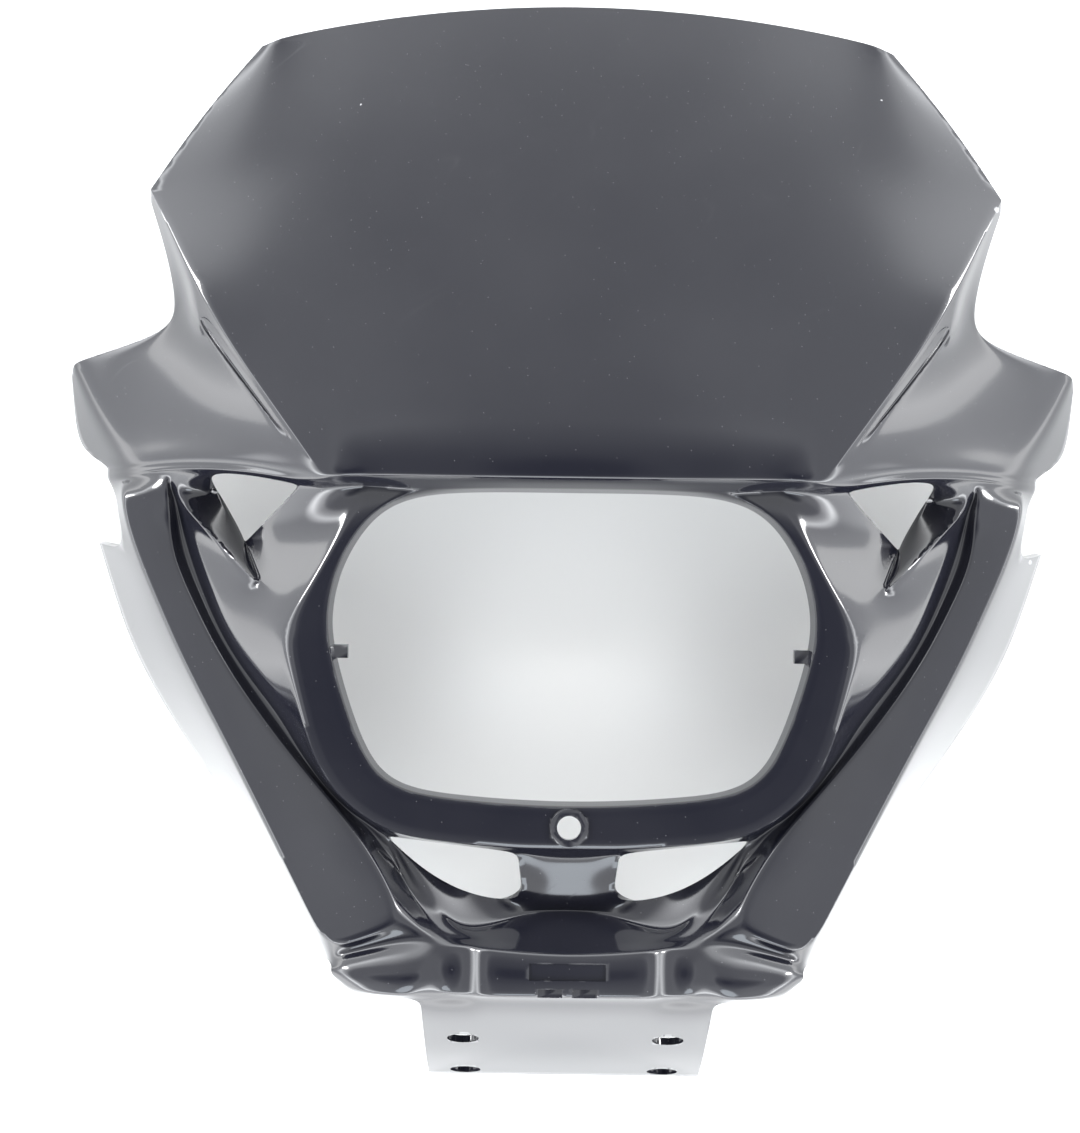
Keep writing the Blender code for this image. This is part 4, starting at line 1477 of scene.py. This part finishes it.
@dataclass(frozen=True)
class PaperWithPaintedLight:
    """Matt white paper with a faint tooth, whose glow is painted light: bright further out where more light
    would fall, dim under the mask as painted shade.
    """

    colour: tuple[float, float, float] = (0.74, 0.74, 0.73)
    cloud_scale: float = 3.0
    cloud_shade: float = 0.97
    roughness: float = 0.85
    # Painted light: strength of the paper's glow, and the distances from the mask's middle over which it
    # grows from none to full, so that it stays dim under the mask as painted shade.
    glow: float = 3.5
    painted_light_start: float = 0.24
    painted_light_full: float = 0.6

    def build(self) -> bpy.types.Material:
        """Makes the material: noise shifts the white, and the distance from the mask sets the glow, which is
        painted light outside the mask and painted shade under it.

        Returns:
            The material.
        """
        material = bpy.data.materials.new("paper")
        material.use_nodes = True
        tree = material.node_tree
        shader = tree.nodes["Principled BSDF"]
        shader.inputs["Roughness"].default_value = self.roughness
        # Painted light: the glow stands in for the light falling on the paper.
        shader.inputs["Emission Strength"].default_value = self.glow
        place = node(tree, "ShaderNodeTexCoord")
        reach = node(tree, "ShaderNodeVectorMath", operation="LENGTH")
        share = ranged(tree, self.painted_light_start, self.painted_light_full, interpolation_type="SMOOTHSTEP")
        cloud = cloud_of(tree, self.cloud_scale)
        tint = node(tree, "ShaderNodeMix", data_type="RGBA")
        tint.inputs["A"].default_value = (*self.colour, 1)
        tint.inputs["B"].default_value = (*(self.cloud_shade * part for part in self.colour), 1)
        link = tree.links.new
        link(place.outputs["Object"], reach.inputs[0])
        link(reach.outputs["Value"], share.inputs["Value"])
        # Painted light and shade: the glow is full far from the mask and none under it.
        link(share.outputs["Result"], shader.inputs["Emission Color"])
        link(cloud.outputs["Fac"], tint.inputs["Factor"])
        link(tint.outputs["Result"], shader.inputs["Base Color"])
        return material


@dataclass
class Floor:
    """Sheet of pale paper that the mask lies on."""

    reach: float = 6.0

    def build(self) -> bpy.types.Object:
        """Lays a flat square about the middle of the scene.

        Returns:
            The floor.
        """
        x, y = np.meshgrid((-self.reach, self.reach), (-self.reach, self.reach))
        corners = np.stack([x.ravel(), y.ravel(), 0 * x.ravel()], axis=1)
        mesh = bpy.data.meshes.new("floor")
        mesh.from_pydata(corners, [], [(0, 1, 3, 2)])
        mesh.materials.append(PaperWithPaintedLight().build())
        floor = bpy.data.objects.new("floor", mesh)
        bpy.context.scene.collection.objects.link(floor)
        return floor


@dataclass
class PhotoCamera:
    """Camera straight above the mask, as the photograph was taken."""

    height: float = 1.301
    side_shift: float = -0.013
    depth_shift: float = -0.0075
    roll_degrees: float = 0.75
    lens: float = 95.3
    sensor: float = 36.0

    def build(self) -> bpy.types.Object:
        """Creates the camera and makes it the scene's own.

        Returns:
            The camera.
        """
        data = bpy.data.cameras.new("photo_camera")
        data.lens = self.lens
        data.sensor_width = self.sensor
        data.sensor_fit = "AUTO"
        camera = bpy.data.objects.new("photo_camera", data)
        bpy.context.scene.collection.objects.link(camera)
        camera.location = (self.side_shift, self.depth_shift, self.height)
        camera.rotation_euler = (0.0, 0.0, radians(self.roll_degrees))
        bpy.context.scene.camera = camera
        return camera


@dataclass
class StudioLight:
    """White room with a dark ceiling patch round the camera, brighter at its sides and its near end."""

    middle: tuple[FlatPoint, ...] = (
        (0.0, 3.5), (0.3, 6.0), (0.42, 5.0), (0.5, 2.8), (0.54, 2.1), (0.62, 1.6), (0.75, 1.6), (0.9, 1.4),
        (0.96, 0.9), (0.985, 0.6), (0.996, 0.2), (1.0, 0.18))
    sides: tuple[FlatPoint, ...] = (
        (0.0, 4.0), (0.24, 3.6), (0.30, 9.0), (0.35, 13.0), (0.40, 9.0), (0.46, 6.0), (0.53, 4.6),
        (0.58, 2.3), (0.64, 1.9), (0.84, 1.9), (0.9, 2.1), (0.93, 1.3), (0.97, 0.4), (0.996, 0.2),
        (1.0, 0.18))
    side_start: float = 0.08
    side_full: float = 0.34
    near_start: float = 0.2
    near_full: float = 0.6
    near_boost: float = 1.5
    tint: tuple[float, float, float] = (0.97, 0.99, 1.015)

    def ramp(self, tree: bpy.types.NodeTree, levels: tuple[FlatPoint, ...],
             height: bpy.types.NodeSocket) -> bpy.types.NodeSocket:
        """Light level over the height of the direction looked in, as a share of the brightest.

        Args:
            tree: The world's tree.
            levels: Height and level of each stop.
            height: Socket that gives the height.

        Returns:
            The socket of the level's colour.
        """
        made = node(tree, "ShaderNodeValToRGB")
        stops = made.color_ramp.elements
        stops.remove(stops[1])
        for index, (place, level) in enumerate(levels):
            stop = stops[0] if index == 0 else stops.new(place)
            stop.position = place
            stop.color = (*(level / self.brightest * part for part in self.tint), 1)
        tree.links.new(height, made.inputs["Fac"])
        return made.outputs["Color"]

    @property
    def brightest(self) -> float:
        """The highest of all levels."""
        return max(level for _, level in self.middle + self.sides)

    def build(self) -> None:
        """Fills the world.

        The level follows the height looked at, from the middle's levels to the sides' by how
        far to a side it lies, and grows towards the near end.
        """
        world = bpy.data.worlds.new("studio")
        bpy.context.scene.world = world
        world.use_nodes = True
        tree = world.node_tree
        tree.nodes.clear()
        place = node(tree, "ShaderNodeTexCoord")
        split = node(tree, "ShaderNodeSeparateXYZ")
        size = node(tree, "ShaderNodeMath", operation="ABSOLUTE")
        share = ranged(tree, self.side_start, self.side_full, interpolation_type="SMOOTHSTEP")
        near = ranged(tree, -self.near_start, -self.near_full, interpolation_type="SMOOTHSTEP")
        near.inputs["To Min"].default_value = self.brightest
        near.inputs["To Max"].default_value = self.brightest * self.near_boost
        blend = node(tree, "ShaderNodeMix", data_type="RGBA")
        glow = node(tree, "ShaderNodeBackground")
        out = node(tree, "ShaderNodeOutputWorld")
        link = tree.links.new
        link(place.outputs["Generated"], split.inputs["Vector"])
        link(split.outputs["X"], size.inputs[0])
        link(size.outputs[0], share.inputs["Value"])
        link(share.outputs["Result"], blend.inputs["Factor"])
        link(self.ramp(tree, self.middle, split.outputs["Z"]), blend.inputs["A"])
        link(self.ramp(tree, self.sides, split.outputs["Z"]), blend.inputs["B"])
        link(blend.outputs["Result"], glow.inputs["Color"])
        link(glow.outputs["Background"], out.inputs["Surface"])
        link(split.outputs["Y"], near.inputs["Value"])
        link(near.outputs["Result"], glow.inputs["Strength"])


@dataclass
class SoftLamp:
    """Round soft lamp that looks at the middle of the mask."""

    name: str
    place: Point
    size: float
    watts: float
    colour: tuple[float, float, float] = (1.0, 1.0, 1.0)

    def build(self) -> bpy.types.Object:
        """Hangs the lamp and turns it to the mask.

        Returns:
            The lamp.
        """
        data = bpy.data.lights.new(self.name, "AREA")
        data.shape = "DISK"
        data.size = self.size
        data.energy = self.watts
        data.color = self.colour
        lamp = bpy.data.objects.new(self.name, data)
        bpy.context.scene.collection.objects.link(lamp)
        lamp.location = self.place
        lamp.rotation_euler = (-Vector(self.place)).to_track_quat("-Z", "Y").to_euler()
        return lamp


LAMPS = (SoftLamp("left_lamp", (-2.2, 1.2, 1.05), 0.6, 40.0),
         SoftLamp("right_lamp", (2.2, 1.2, 1.05), 0.6, 40.0),
         SoftLamp("near_lamp", (0.0, -1.16, 1.31), 0.6, 6.0, (0.84, 0.92, 1.0)))


def main() -> None:
    """Builds the picture and reports each piece."""
    logging.basicConfig(level=logging.INFO, format="%(name)s: %(message)s")
    camera = PhotoCamera().build()
    log.info("%s placed", camera.name)
    StudioLight().build()
    for lamp in LAMPS:
        log.info("%s hung", lamp.build().name)
    bpy.context.scene.view_settings.view_transform = "Standard"
    floor = Floor().build()
    log.info("%s laid", floor.name)
    shell = Moulding().build()
    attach(shell, "root")
    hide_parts(NODE)
    log.info("%s has %d faces", shell.name, len(shell.data.polygons))


if __name__ == "__main__":
    main()
